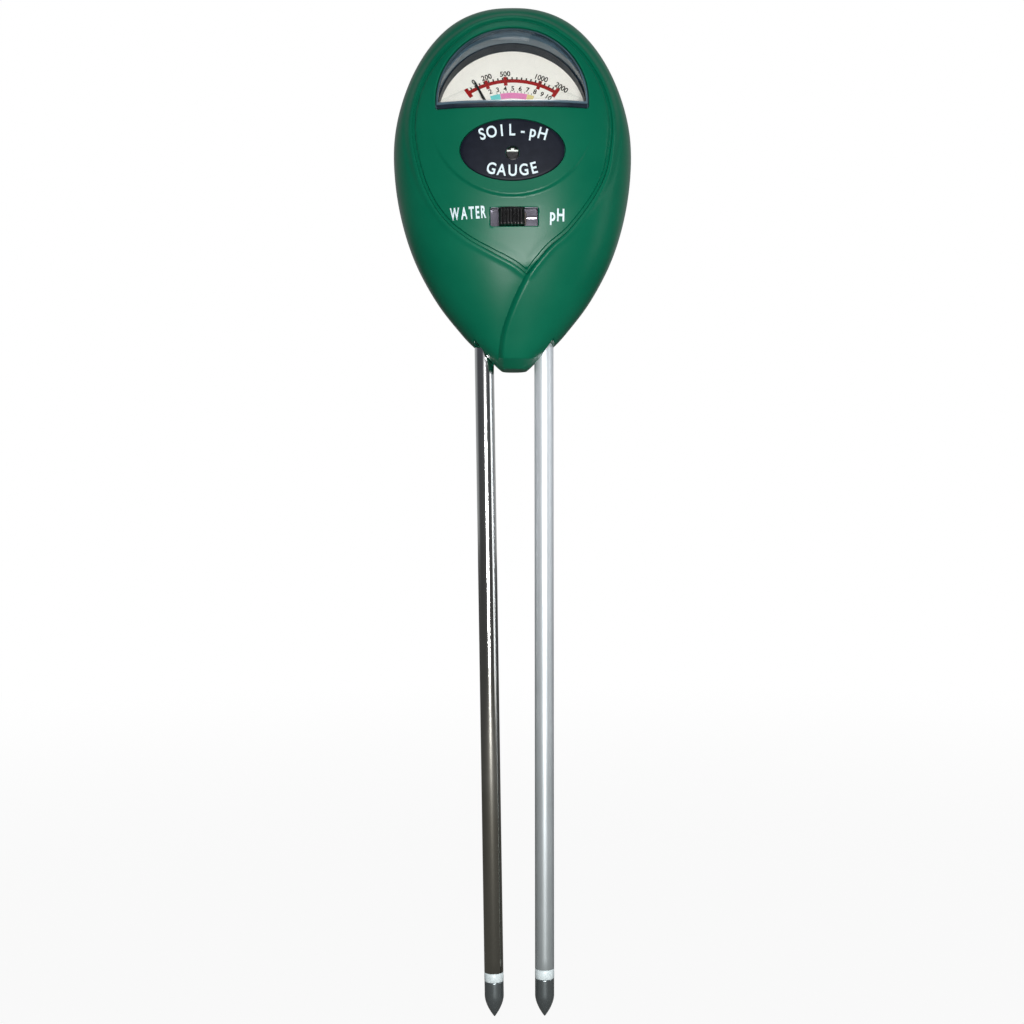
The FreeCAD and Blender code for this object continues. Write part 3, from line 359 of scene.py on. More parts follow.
def split_by(bm, func, level):
    """Cut the mesh along func == level; func takes an (n, 3) array."""
    bm.verts.ensure_lookup_table()
    bm.verts.index_update()
    co = np.array([v.co[:] for v in bm.verts])
    f = func(co) - level
    f[np.abs(f) < 1e-6] = 0
    ed = [(e, e.verts[0].index, e.verts[1].index) for e in bm.edges]
    ia = np.array([e[1] for e in ed])
    ib = np.array([e[2] for e in ed])
    cross = np.nonzero(f[ia] * f[ib] < 0)[0]
    if len(cross) == 0:
        return
    A, B = co[ia[cross]], co[ib[cross]]
    lo, hi = np.zeros(len(cross)), np.ones(len(cross))
    fa = f[ia[cross]]
    t = fa / (fa - f[ib[cross]])
    for _ in range(6):
        p = A + (B - A) * t[:, None]
        ft = func(p) - level
        same = np.sign(ft) == np.sign(fa)
        lo = np.where(same, t, lo)
        hi = np.where(same, hi, t)
        t = (lo + hi) / 2
    snapped = {}
    for k, c in enumerate(cross):
        if t[k] < 0.16:
            i, s = ia[c], t[k]
        elif t[k] > 0.84:
            i, s = ib[c], 1 - t[k]
        else:
            continue
        L = np.linalg.norm(B[k] - A[k]) * s
        if i not in snapped or L < snapped[i][0]:
            snapped[i] = (L, A[k] + (B[k] - A[k]) * t[k])
    for i, (_, p) in snapped.items():
        v = bm.verts[i]
        if not v.is_boundary or abs(v.co.y) > 1e-6:
            v.co = p
            f[i] = 0
    zero = set(np.nonzero(f == 0)[0].tolist())
    sign = {i: (0 if i in zero else (1 if f[i] > 0 else -1)) for i in range(len(f))}
    vs = list(bm.verts)
    sgn = {v: sign[v.index] for v in vs}
    touched = set()
    for k, c in enumerate(cross):
        e = ed[c][0]
        a, b = e.verts
        if sgn[a] * sgn[b] >= 0:
            continue
        va = vs[ia[c]]
        for fc in e.link_faces:
            touched.add(fc)
        _, nv = bmesh.utils.edge_split(e, va, float(np.clip(t[k], 0.02, 0.98)))
        sgn[nv] = 0
    for i in snapped:
        for fc in vs[i].link_faces:
            touched.add(fc)
    for v, s in list(sgn.items()):
        if s == 0:
            for fc in v.link_faces:
                touched.add(fc)
    for fc in touched:
        if not fc.is_valid:
            continue
        ss = [sgn[v] for v in fc.verts]
        if 1 not in ss or -1 not in ss:
            continue
        z = [v for v in fc.verts if sgn[v] == 0]
        if len(z) >= 2:
            try:
                bmesh.utils.face_split(fc, z[0], z[-1] if len(z) == 2 else z[1])
            except ValueError:
                pass


def arch_sd(x, z, r, bottom, centre, fil):
    side = np.hypot(x, np.maximum(z - centre, 0)) - r
    q1, q2 = side + fil, bottom - z + fil
    return np.minimum(np.maximum(q1, q2), 0) + np.hypot(np.maximum(q1, 0), np.maximum(q2, 0)) - fil


def box_sd(x, z, cx, cz, hx, hz, fil):
    q1, q2 = np.abs(x - cx) - hx + fil, np.abs(z - cz) - hz + fil
    return np.minimum(np.maximum(q1, q2), 0) + np.hypot(np.maximum(q1, 0), np.maximum(q2, 0)) - fil


def ellipse_sd(x, z, cx, cz, a, b):
    k = np.hypot((x - cx) / a, (z - cz) / b)
    g = np.hypot((x - cx) / a ** 2, (z - cz) / b ** 2) / np.maximum(k, 1e-6)
    return (k - 1) / np.maximum(g, 1e-6)


def smooth_line(pts, step=0.12):
    """Catmull-Rom line through the points, as dense samples with tangents."""
    p = np.array(pts, float)
    p = np.vstack([2 * p[0] - p[1], p, 2 * p[-1] - p[-2]])
    out = []
    for i in range(1, len(p) - 2):
        n = max(int(np.linalg.norm(p[i + 1] - p[i]) / step), 2)
        t = np.linspace(0, 1, n, endpoint=False)[:, None]
        a, b, c, d = p[i - 1], p[i], p[i + 1], p[i + 2]
        out.append(0.5 * (2 * b + (c - a) * t + (2 * a - 5 * b + 4 * c - d) * t ** 2 + (3 * b - a - 3 * c + d) * t ** 3))
    out.append(p[-2:-1])
    q = np.vstack(out)
    tan = np.gradient(q, axis=0)
    tan /= np.linalg.norm(tan, axis=1)[:, None]
    return q, tan


class Curve2D:
    """Signed distance to an open line in the XZ plane: positive on the left of its direction."""
    def __init__(self, pts, end_sharp=True):
        self.q, self.t = smooth_line(pts)
        self.kd = KDTree(len(self.q))
        for i, p in enumerate(self.q):
            self.kd.insert((p[0], 0, p[1]), i)
        self.kd.balance()
        self.len = np.concatenate([[0], np.cumsum(np.linalg.norm(np.diff(self.q, axis=0), axis=1))])

    def __call__(self, x, z):
        d = np.empty(len(x))
        s = np.empty(len(x))
        for k in range(len(x)):
            _, i, _ = self.kd.find((x[k], 0, z[k]))
            r = np.array((x[k], z[k])) - self.q[i]
            t = self.t[i]
            along = r @ t
            cr = t[0] * r[1] - t[1] * r[0]
            if (i == 0 and along < 0) or (i == len(self.q) - 1 and along > 0):
                d[k] = math.copysign(math.hypot(*r), cr)
            else:
                d[k] = cr
            s[k] = self.len[i] + along
        return d, s


LEFT_LINE = [(3.67, 25.5), (0.2, 28.1), (-6.0, 31.4), (-10.9, 34.1), (-14.2, 36.4), (-17.2, 39.0), (-21.0, 43.9),
             (-24.3, 50.9), (-26.4, 59.3), (-27.0, 66.3), (-26.0, 73.1), (-23.3, 79.9), (-18.4, 86.8),
             (-12.0, 92.1), (-6.3, 94.9), (0.0, 96.0), (6.3, 94.9), (12.0, 92.1), (18.4, 86.8), (23.3, 79.9),
             (26.0, 73.1), (27.0, 66.3), (26.4, 59.3), (24.8, 52.0), (20.9, 44.7), (15.0, 37.2), (9.9, 32.8),
             (6.4, 29.0), (3.67, 25.5)]
RIGHT_S = [(26.9, 62.0), (26.4, 59.3), (24.8, 52.0), (20.9, 44.7), (15.0, 37.2), (9.9, 32.8), (6.4, 29.0),
           (3.67, 25.5), (0.6, 19.9), (-1.6, 14.9), (-3.3, 10.2), (-4.1, 6.0), (-4.4, 2.6), (-4.4, 0.2)]
groove = Curve2D(LEFT_LINE)
seam = Curve2D(RIGHT_S)


def win_sd(x, z):
    return arch_sd(x, z, WIN_HALF + 0.1, OPEN_BOTTOM, OPEN_CENTRE, 0.8)


def slot_sd(x, z):
    return box_sd(x, z, SLOT_X, SLOT_Z, SLOT_W / 2, SLOT_H / 2, 0.25)


def badge_sd(x, z):
    return ellipse_sd(x, z, 0, BADGE_Z, BADGE_A, BADGE_B)


CRES = (0.0, 68.1, 22.4)


def front_height(x, z):
    """Relief of the front face over the plain egg, mm outward."""
    h = np.zeros(len(x))
    near = np.ones(len(x), bool)
    g = -groove(x, z)[0]
    s, ls = seam(x, z)
    inside = g > 0
    d = np.abs(g)
    low = z < 25.5
    # channel with steep walls and a flat floor, a soft roll on its outer side
    ch = 1 - sstep(0.34, 0.60, d)
    h -= 0.52 * ch
    h += 0.27 * np.exp(-((d - 1.25) / 0.62) ** 2) * (~inside) * (1 - ch)
    h -= 0.16 * np.exp(-((d - 2.7) / 0.6) ** 2) * (~inside) * sstep(40, 60, z)
    # the panel inside the line sits a little lower
    h -= 0.14 * sstep(0.3, 3.4, g) * inside * sstep(90, 60, z)
    # right leaf over left leaf, along the S line
    amp = 0.32 + 0.62 * sstep(40, 14, z)
    rs = s                                   # positive on the left of a line that runs downward: the right leaf
    on_r = rs > 0
    ridge = amp * sstep(0.0, 1.5, rs) * np.exp(-np.maximum(rs - 1.5, 0) / (3.2 + 0.1 * z)) * on_r * sstep(66, 50, z)
    h += ridge
    fade = sstep(29, 24, z) * sstep(-2.0, 0.8, z)
    h -= fade * 0.40 * np.exp(-np.abs(rs) / 2.6) * (~on_r)
    h -= fade * 0.40 * (1 - sstep(0.0, 0.45, rs)) * on_r
    # rounded step of the round zone below the badge
    r = np.hypot(x - CRES[0], z - CRES[1])
    dc = CRES[2] - r
    cosb = (CRES[1] - z) / np.maximum(r, 1e-6)
    h += 0.52 * sstep(0.20, 0.80, cosb) * sstep(-0.42, 0.42, dc) * np.exp(-np.maximum(dc, 0) / 6.0) * inside
    # width of the face at each height
    w = width(z)
    # edges of the openings
    for sd, rr in ((win_sd(x, z), 0.42), (slot_sd(x, z), 0.22)):
        q = np.clip(sd, 0, rr)
        h -= (rr - np.sqrt(np.maximum(rr ** 2 - (rr - q) ** 2, 0))) * (sd < rr)
    b = badge_sd(x, z)
    h -= 0.95 * sstep(0.0, -0.12, b)
    return h


# ------------------------------------------------------------------ case shells
def half_grid(side, rows=250, cols=168):
    zz = HEAD_TOP * np.sin(np.linspace(0, 1, 4000) * math.pi / 2)
    zz[-1] = HEAD_TOP
    ww = width(zz)
    ln = np.concatenate([[0], np.cumsum(np.hypot(np.diff(ww), np.diff(zz)))])
    lev = np.interp(np.linspace(0, ln[-1], rows + 1), ln, zz)[::-1]
    k = 1.0 if side < 0 else REAR_RATIO
    th = np.linspace(0, math.pi, 1201)
    e = 2 / SUPER_N
    cx = -np.sign(np.cos(th)) * np.abs(np.cos(th)) ** e
    sy = np.abs(np.sin(th)) ** e
    P = []
    spec = [(z, 1.0) for z in lev[1:]] + [(0.0, s) for s in (0.93, 0.8, 0.6, 0.4, 0.2)]
    for z, s in spec:
        x = cx * float(width(z)) * s
        y = side * sy * float(depth(z)) * k * s
        L = np.concatenate([[0], np.cumsum(np.hypot(np.diff(x), np.diff(y)))])
        q = np.linspace(0, L[-1], cols + 1)
        xi, yi = np.interp(q, L, x), np.interp(q, L, y)
        yi[0] = yi[-1] = 0.0
        P.append(np.stack([xi, yi, np.full(cols + 1, z)], 1))
    P = np.array(P)
    R = len(P)
    verts = [(0, 0, HEAD_TOP)] + [tuple(p) for row in P for p in row] + [(0, 0, 0)]
    idx = lambda j, i: 1 + j * (cols + 1) + i
    last = len(verts) - 1
    faces = []
    for i in range(cols):
        faces.append((0, idx(0, i), idx(0, i + 1)))
        faces.append((last, idx(R - 1, i + 1), idx(R - 1, i)))
    for j in range(R - 1):
        for i in range(cols):
            faces.append((idx(j, i), idx(j + 1, i), idx(j + 1, i + 1), idx(j, i + 1)))
    if side > 0:
        faces = [f[::-1] for f in faces]
    return verts, faces


def probe_field(side):
    k = -1 if side == "left" else 1
    a = math.radians(PROBE_TOE)

    def f(co):
        x = co[:, 0] - k * (PROBE_X + co[:, 2] * math.tan(a))
        return np.hypot(x, co[:, 1])
    return f


def shell(name, side, cuts, holes, height, node):
    """cuts: (field, level) lines that the mesh follows; holes: (field, level) regions removed below the level."""
    verts, faces = half_grid(side)
    bm = bmesh.new()
    vs = [bm.verts.new(v) for v in verts]
    for f in faces:
        bm.faces.new([vs[i] for i in f])
    bm.normal_update()
    for fn, lv in cuts:
        split_by(bm, fn, lv)
    for fn, lv in holes:
        split_by(bm, fn, lv)
        bad = []
        fl = list(bm.faces)
        cen = np.array([f.calc_center_median()[:] for f in fl])
        val = fn(cen)
        bad = [f for f, v in zip(fl, val) if v < lv]
        bmesh.ops.delete(bm, geom=bad, context="FACES")
    bm.normal_update()
    bm.verts.index_update()
    co = np.array([v.co[:] for v in bm.verts])
    nor = np.array([v.normal[:] for v in bm.verts])
    k = 1.0 if side < 0 else REAR_RATIO
    w = width(co[:, 2])
    ok = (np.abs(co[:, 0]) < 0.97 * w) & (co[:, 2] > 0.02)
    ynew = face_y(co[:, 0], co[:, 2]) * k * (-side)
    base = co.copy()
    base[ok, 1] = ynew[ok]
    h = height(base[:, 0], base[:, 2]) if height else np.zeros(len(base))
    rel = np.clip(1 - (np.abs(base[:, 0]) / np.maximum(w, 1e-6)), 0, 1)
    h = h * sstep(0.0, 0.06, rel) * (base[:, 2] > 0.02)
    outer = base.copy()
    outer[:, 1] += side * h
    inner = base - nor * WALL
    if side < 0:
        kw = sstep(0.5, 3.0, win_sd(base[:, 0], base[:, 2]))[:, None]
        inner = inner * kw + (base + np.array([0.0, WALL, 0.0])) * (1 - kw)
    flat = np.abs(base[:, 1]) < 1e-7
    inner[flat, 1] = 0
    inner[:, 1] = np.where(side * inner[:, 1] < 0, 0, inner[:, 1])
    if side < 0:
        outer[:, 1] *= 1 - 0.30 * np.clip((2.7 - base[:, 2]) / 2.7, 0, 1)
    for arr in (outer, inner):
        arr[:, 2] -= 0.8 * np.clip((arr[:, 2] - 94.0) / 8.8, 0, 1) ** 2
    n = len(base)
    V = np.vstack([outer, inner])
    F = []
    for f in bm.faces:
        ids = [v.index for v in f.verts]
        F.append(ids)
        F.append([i + n for i in ids[::-1]])
    edges = [(e.verts[0].index, e.verts[1].index) for e in bm.edges if len(e.link_faces) == 1]
    extra_v = []
    m = 2 * n
    done = {}
    for a, b in edges:
        ca = (base[a] + base[b]) / 2
        hole = None
        if side > 0 and abs(ca[1]) > 1e-6:
            for cx, cz in CASE_SCREWS:
                if math.hypot(ca[0] - cx, ca[2] - cz) < 2.3:
                    hole = (cx, cz)
        if hole is None:
            F.append([a, b, b + n, a + n])
            continue
        cx, cz = hole
        yb = -float(face_y(cx, cz)) * REAR_RATIO
        seat = max(yb - 4.0, 2.2)
        for i in (a, b):
            if i not in done:
                dx, dz = base[i][0] - cx, base[i][2] - cz
                q = math.hypot(dx, dz)
                dx, dz = dx / q, dz / q
                chain = [i]
                for r, y in ((2.05, seat), (1.25, seat), (1.25, 0.05), (2.9, 0.05), (2.9, seat - 0.4)):
                    extra_v.append((cx + dx * r, y, cz + dz * r))
                    chain.append(m + len(extra_v) - 1)
                chain.append(i + n)
                done[i] = chain
        A, B = done[a], done[b]
        for p in range(len(A) - 1):
            F.append([A[p], B[p], B[p + 1], A[p + 1]])
    allv = [tuple(v) for v in V] + extra_v
    used = sorted(set(i for f in F for i in f))
    remap = {i: k for k, i in enumerate(used)}
    bm.free()
    verts = [allv[i] for i in used]
    faces = [[remap[i] for i in f] for f in F]
    return verts, faces


def add_tube(verts, faces, p0, p1, ro, ri, n=36):
    """Closed annular tube from p0 to p1, appended to the lists."""
    p0, p1 = Vector(p0), Vector(p1)
    ax = (p1 - p0).normalized()
    u = ax.orthogonal().normalized()
    v = ax.cross(u)
    base = len(verts)
    for p in (p0, p1):
        for r in (ro, ri):
            for i in range(n):
                a = 2 * math.pi * i / n
                q = p + (u * math.cos(a) + v * math.sin(a)) * r
                verts.append(tuple(q))
    o0, i0, o1, i1 = (base + k * n for k in range(4))
    for i in range(n):
        j = (i + 1) % n
        faces.append([o0 + i, o0 + j, o1 + j, o1 + i])
        faces.append([i0 + j, i0 + i, i1 + i, i1 + j])
        faces.append([o0 + j, o0 + i, i0 + i, i0 + j])
        faces.append([o1 + i, o1 + j, i1 + j, i1 + i])


def xz(fn):
    return lambda co: fn(co[:, 0], co[:, 2])


def groove_f(co):
    return groove(co[:, 0], co[:, 2])[0]


def seam_f(co):
    d = seam(co[:, 0], co[:, 2])[0]
    return np.where(co[:, 2] < 26.5, d, 50.0 + 0 * d)


cuts = [(groove_f, s) for s in (-0.60, -0.34, 0.34, 0.60)]
cuts += [(seam_f, s) for s in (-0.02, 0.45)]
cuts += [(lambda co: co[:, 2], 2.7)]
cuts += [(xz(lambda x, z: np.hypot(x - CRES[0], z - CRES[1]) - CRES[2]), s) for s in (-0.42, -0.14, 0.14, 0.42)]
cuts += [(xz(win_sd), 0.42), (xz(win_sd), 0.14), (xz(slot_sd), 0.22),
         (xz(badge_sd), 0.0), (xz(badge_sd), -0.12)]
zero_d = xz(lambda x, z: np.hypot(x, z - ZERO_Z))


def notch(x, z):
    ax = np.abs(x)
    return np.maximum((z - 1.32 * (ax - 4.7)) / 1.656, ax - 11.2)


holes = [(xz(notch), 0.0), (xz(win_sd), 0.0), (xz(slot_sd), 0.0), (zero_d, 1.36),
         (probe_field("left"), PROBE_R + 0.04), (probe_field("right"), PROBE_R + 0.04)]
v, f = shell("front_shell_skin", -1, cuts, holes, front_height, "front_shell")


def boss_y(x, z, r):
    a = np.linspace(0, 2 * math.pi, 24)
    return float(np.max(face_y(x + r * np.cos(a), z + r * np.sin(a)))) + 1.0


for x, z in CASE_SCREWS:
    add_tube(v, f, (x, boss_y(x, z, 2.55), z), (x, -0.02, z), 2.55, 0.98)
for x, z in BOARD_SCREWS:
    add_tube(v, f, (x, boss_y(x, z, 1.9), z), (x, -8.9, z), 1.9, 0.78)
add_tube(v, f, (0, boss_y(0, 15.8, 2.2), 15.8), (0, -4.55, 15.8), 2.2, 0.98)
for u in (-19.0, 19.0):
    a = dial_point(u, -5.0, -0.5)
    b = dial_point(u, -5.0, 4.6)
    add_tube(v, f, tuple(b), tuple(a), 2.2, 0.78)
front = new_object("front_shell_moulding", v, f, M["green"], "root", sharp=40)
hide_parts("front_shell")

holes = [(xz(lambda x, z, c=c: np.hypot(x - c[0], z - c[1])), 2.05) for c in CASE_SCREWS]
holes += [(probe_field("left"), PROBE_R + 0.04), (probe_field("right"), PROBE_R + 0.04)]
v, f = shell("rear_shell_skin", 1, [], holes, None, "rear_shell")
rear = new_object("rear_shell_moulding", v, f, M["green"], "root", sharp=40)
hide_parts("rear_shell")


# ------------------------------------------------------------------ lens, surround, badge
def outline_arch(r, bottom, centre, fil, n=140):
    """Points and outward normals round the arch, counter-clockwise seen from the front."""
    pts = []
    a = np.linspace(0, math.pi, n)
    pts += [(r * math.cos(t), centre + r * math.sin(t)) for t in a]
    pts += [(-r, z) for z in np.linspace(centre, bottom + fil, 4)[1:]]
    pts += [(-r + fil + fil * math.cos(t), bottom + fil + fil * math.sin(t)) for t in np.linspace(math.pi, 1.5 * math.pi, 8)[1:]]
    pts += [(x, bottom) for x in np.linspace(-r + fil, r - fil, 70)[1:]]
    pts += [(r - fil + fil * math.cos(t), bottom + fil + fil * math.sin(t)) for t in np.linspace(1.5 * math.pi, 2 * math.pi, 8)[1:]]
    pts += [(r, z) for z in np.linspace(bottom + fil, centre, 4)[1:-1]]
    p = np.array(pts)
    t = np.roll(p, -1, 0) - np.roll(p, 1, 0)
    nn = np.stack([t[:, 1], -t[:, 0]], 1)
    nn /= np.linalg.norm(nn, axis=1)[:, None]
    return p, nn


def plate(name, p, nn, centre, top, profile, bottom, material, body, rings=16, sharp=30):
    """Closed plate over an outline: top(x, z) and bottom(x, z) give y; profile lists (outward offset, depth under top)."""
    n = len(p)
    rows = []
    c = np.array(centre)
    first = p + nn * profile[0][0]
    for s in np.linspace(0, 1, rings + 1)[1:-1]:
        q = c + (first - c) * s
        rows.append(np.stack([q[:, 0], top(q[:, 0], q[:, 1]) + profile[0][1], q[:, 1]], 1))
    for off, dp in profile:
        q = p + nn * off
        rows.append(np.stack([q[:, 0], top(q[:, 0], q[:, 1]) + dp, q[:, 1]], 1))
    last = p + nn * profile[-1][0]
    for s in np.linspace(1, 0, rings + 1)[1:-1]:
        q = c + (last - c) * s
        rows.append(np.stack([q[:, 0], bottom(q[:, 0], q[:, 1]), q[:, 1]], 1))
    verts = [(c[0], float(top(c[0:1], c[1:2])[0]) + profile[0][1], c[1])]
    for r in rows:
        verts += [tuple(x) for x in r]
    verts.append((c[0], float(bottom(c[0:1], c[1:2])[0]), c[1]))
    faces = []
    R = len(rows)
    for i in range(n):
        j = (i + 1) % n
        faces.append((0, 1 + i, 1 + j))
        faces.append((len(verts) - 1, 1 + (R - 1) * n + j, 1 + (R - 1) * n + i))
        for k in range(R - 1):
            faces.append((1 + k * n + i, 1 + (k + 1) * n + i, 1 + (k + 1) * n + j, 1 + k * n + j))
    return new_object(name, verts, faces, material, body, sharp=sharp)


# black bar along the window's lower edge: painted shade for the dark edge of the window
sec = [(0.52, 69.92), (0.36, 70.08), (0.30, 70.35), (0.30, 70.65), (0.36, 70.90), (0.52, 71.05), (1.90, 71.05),
       (1.90, 69.92)]
xs = np.linspace(-(WIN_HALF - 0.35), WIN_HALF - 0.35, 81)
verts = [(x, float(face_y(np.array([x]), np.array([z]))[0]) + d, z) for x in xs for d, z in sec]
K = len(sec)
faces = [tuple(reversed(range(K))), tuple((len(xs) - 1) * K + k for k in range(K))]
for i in range(len(xs) - 1):
    for k in range(K):
        l = (k + 1) % K
        faces.append((i * K + k, i * K + l, (i + 1) * K + l, (i + 1) * K + k))
shade_sill = new_object("window_sill_bar", verts, faces, M["black"], "root", sharp=35)
bm = bmesh.new()
bm.from_mesh(shade_sill.data)
bmesh.ops.recalc_face_normals(bm, faces=bm.faces)
bm.to_mesh(shade_sill.data)
bm.free()

p, nn = outline_arch(WIN_HALF - 0.02, 71.12, OPEN_CENTRE, 0.4)
prof = [(-0.95, 0.0), (-0.62, 0.04), (-0.34, 0.14), (-0.12, 0.34), (0.0, 0.62), (0.0, 1.7), (1.0, 1.72), (1.0, 2.7),
        (-0.55, 2.7), (-0.55, 1.72)]
lens = plate("window_lens_clear", p, nn, (0, 80.0), lambda x, z: face_y(x, z) + 0.34, prof,
             lambda x, z: face_y(x, z) + 0.34 + 1.7, M["lens"], "root", rings=14, sharp=35)
lens.data.materials.append(M["lens_edge"])
n_out = len(p)
rows_in = 13
for q in lens.data.polygons:
    k = min((v - 1) // n_out for v in q.vertices) if min(q.vertices) > 0 else -1
    if rows_in + 1 <= k <= rows_in + 8:
        q.material_index = 1
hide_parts("window_lens")

t = np.linspace(0, 2 * math.pi, 161)[:-1]
pe = np.stack([(BADGE_A - 0.22) * np.cos(t), BADGE_Z + (BADGE_B - 0.22) * np.sin(t)], 1)
tt = np.roll(pe, -1, 0) - np.roll(pe, 1, 0)
ne = np.stack([tt[:, 1], -tt[:, 0]], 1)
ne /= np.linalg.norm(ne, axis=1)[:, None]


def ring_plate(name, po, no, pi, top, bottom, bev, material, body):
    """Plate with a hole: outline po with outward normals no, hole pi with as many points."""
    n = len(po)
    rows = []
    inner = np.array(pi)
    seq = [(po + no * 0, bev + 0.02), (po - no * bev * 0.3, bev * 0.35), (po - no * bev, 0.0)]
    for q, d in seq:
        rows.append(np.stack([q[:, 0], top(q[:, 0], q[:, 1]) + d, q[:, 1]], 1))
    a = seq[-1][0]
    for s in np.linspace(0, 1, 15)[1:]:
        q = a + (inner - a) * s
        rows.append(np.stack([q[:, 0], top(q[:, 0], q[:, 1]), q[:, 1]], 1))
    for s in np.linspace(1, 0, 8):
        q = po + (inner - po) * s
        rows.append(np.stack([q[:, 0], bottom(q[:, 0], q[:, 1]), q[:, 1]], 1))
    R = len(rows)
    verts = [tuple(x) for r in rows for x in r]
    faces = []
    for i in range(n):
        j = (i + 1) % n
        for k in range(R):
            l = (k + 1) % R
            faces.append((k * n + i, l * n + i, l * n + j, k * n + j))
    return new_object(name, verts, faces, material, body, sharp=30)


hole = np.stack([(ZERO_R + 0.12) * np.cos(t), ZERO_Z + (ZERO_R + 0.12) * np.sin(t)], 1)
badge = ring_plate("badge_oval", pe, ne, hole, lambda x, z: face_y(x, z) + 0.02, lambda x, z: face_y(x, z) + 0.93,
                   0.22, M["badge"], "root")
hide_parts("badge")

# dark surround between lens and dial, in the tilted frame
ARCH_V = -PIVOT_V + 1.1
TUN_R = 20.6


def front_w(u, v):
    """Height above the dial where the line along N meets the surface 3.35 mm inside the case face."""
    w = 8.0
    for _ in range(30):
        q = dial_point(u, v, w)
        e = q.y - (float(face_y(q.x, q.z)) + 3.30)
        w += e * 0.9
    return w


def surround():
    path = []
    for a in np.linspace(0, math.pi, 97):
        path.append((TUN_R * math.cos(a), ARCH_V + TUN_R * math.sin(a), math.cos(a), math.sin(a), 0.0))
    zb = -PIVOT_V + 1.9
    path.append((-TUN_R, zb + 0.6, -1, 0, 0.0))
    path.append((-TUN_R, zb + 0.3, -1, 0, 3.0))
    path.append((-TUN_R + 0.1, zb, -0.7, -1.7, 3.0))
    for x in np.linspace(-TUN_R + 0.6, TUN_R - 0.6, 60):
        path.append((x, zb, 0, -1.7, 3.0))
    path.append((TUN_R - 0.1, zb, 0.7, -1.7, 3.0))
    path.append((TUN_R, zb + 0.3, 1, 0, 3.0))
    path.append((TUN_R, zb + 0.6, 1, 0, 0.0))
    rings = []
    for i, (u, v, nx, nv, wr) in enumerate(path):
        wf = front_w(u, v)
        far = 2.9 if nv > 0 or i < 97 else 1.5
        wo = front_w(u + nx * far, v + nv * far)
        q = []
        step = 0.45
        q.append((u, v, wr))
        q.append((u, v, wf * 0.52 + wr * 0.1))
        q.append((u + nx * step, v + nv * step * 0.4, wf * 0.52 + wr * 0.1 + 0.25))
        q.append((u + nx * step, v + nv * step * 0.4, wf - 0.25))
        lip = (step + 0.2) if nx or nv > 0 else 0.1
        q.append((u + nx * lip, v + nv * (step * 0.4 + 0.2 if nv > 0 else 0.1), wf))
        q.append((u + nx * far, v + nv * far, wo))
        q.append((u + nx * far, v + nv * far, wo - 1.2))
        rings.append([tuple(dial_point(*c)) for c in q])
    K = len(rings[0])
    n = len(rings)
    verts = [c for r in rings for c in r]
    faces = []
    for i in range(n):
        j = (i + 1) % n
        for k in range(K):
            l = (k + 1) % K
            faces.append((i * K + k, j * K + k, j * K + l, i * K + l))
    return verts, faces


v, f = surround()
sur = new_object("dial_surround_tunnel", v, f, M["tunnel"], "root", sharp=30)
# the surround's lip bands take the painted reflection tone
sur.data.materials.append(M["lens_edge"])
for q in sur.data.polygons:
    ks = sorted(i % 7 for i in q.vertices)
    if ks in ([2, 2, 3, 3], [3, 3, 4, 4], [4, 4, 5, 5]) and max(q.vertices) // 7 < 97:
        q.material_index = 1
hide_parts("dial_surround")


# ------------------------------------------------------------------ printing: dial scales and labels
def text_mesh(s, size, bold=0.0):
    """Flat letters as (verts, faces) in mm, centred on x, standing on the baseline."""
    cu = bpy.data.curves.new("t", "FONT")
    cu.body = s
    cu.size = size
    cu.offset = bold
    cu.resolution_u = 5
    cu.extrude = 0.5
    ob = bpy.data.objects.new("t", cu)
    bpy.context.scene.collection.objects.link(ob)
    bpy.context.view_layer.update()
    dg = bpy.context.evaluated_depsgraph_get()
    me = bpy.data.meshes.new_from_object(ob.evaluated_get(dg))
    v = np.array([x.co[:] for x in me.vertices])
    f = [list(p.vertices) for p in me.polygons]
    bpy.data.objects.remove(ob)
    bpy.data.curves.remove(cu)
    bpy.data.meshes.remove(me)
    lo, hi = v[:, 0].min(), v[:, 0].max()
    v[:, 0] -= (lo + hi) / 2
    return v, f, hi - lo


class Print:
    """Collects thin printed shapes that share one material."""
    def __init__(self):
        self.v, self.f = [], []

    def add(self, verts, faces):
        b = len(self.v)
        self.v += [tuple(x) for x in verts]
        self.f += [[i + b for i in q] for q in faces]

    def text(self, s, size, place, thick, squeeze=1.0, bold=0.0):
        """place(x, y, h) gives a point: x along the baseline, y up, h above the surface."""
        v, f, w = text_mesh(s, size, bold)
        self.add([place(x * squeeze, y, thick if z > 0 else -0.02) for x, y, z in v], f)

    def strip(self, pts, half, place, thick):
        """Flat band with a closed section along 2D points."""
        p = np.array(pts, float)
        t = np.gradient(p, axis=0)
        t /= np.linalg.norm(t, axis=1)[:, None]
        nn = np.stack([-t[:, 1], t[:, 0]], 1)
        rows = []
        for q, m in zip(p, nn):
            a, b = q + m * half, q - m * half
            rows.append([place(a[0], a[1], -0.02), place(b[0], b[1], -0.02), place(b[0], b[1], thick), place(a[0], a[1], thick)])
        k = len(rows)
        verts = [x for r in rows for x in r]
        faces = [[3, 2, 1, 0], [4 * (k - 1) + i for i in range(4)]]
        for i in range(k - 1):
            for j in range(4):
                l = (j + 1) % 4
                faces.append([4 * i + j, 4 * i + l, 4 * (i + 1) + l, 4 * (i + 1) + j])
        self.add(verts, faces)

    def make(self, name, material, body, slot):
        o = new_object(name, self.v, self.f, material, body, sharp=25)
        return o


def on_dial(x, y, h):
    return tuple(dial_point(x, y, h))


def polar(r, deg):
    a = math.radians(deg)
    return (r * math.sin(a), r * math.cos(a))


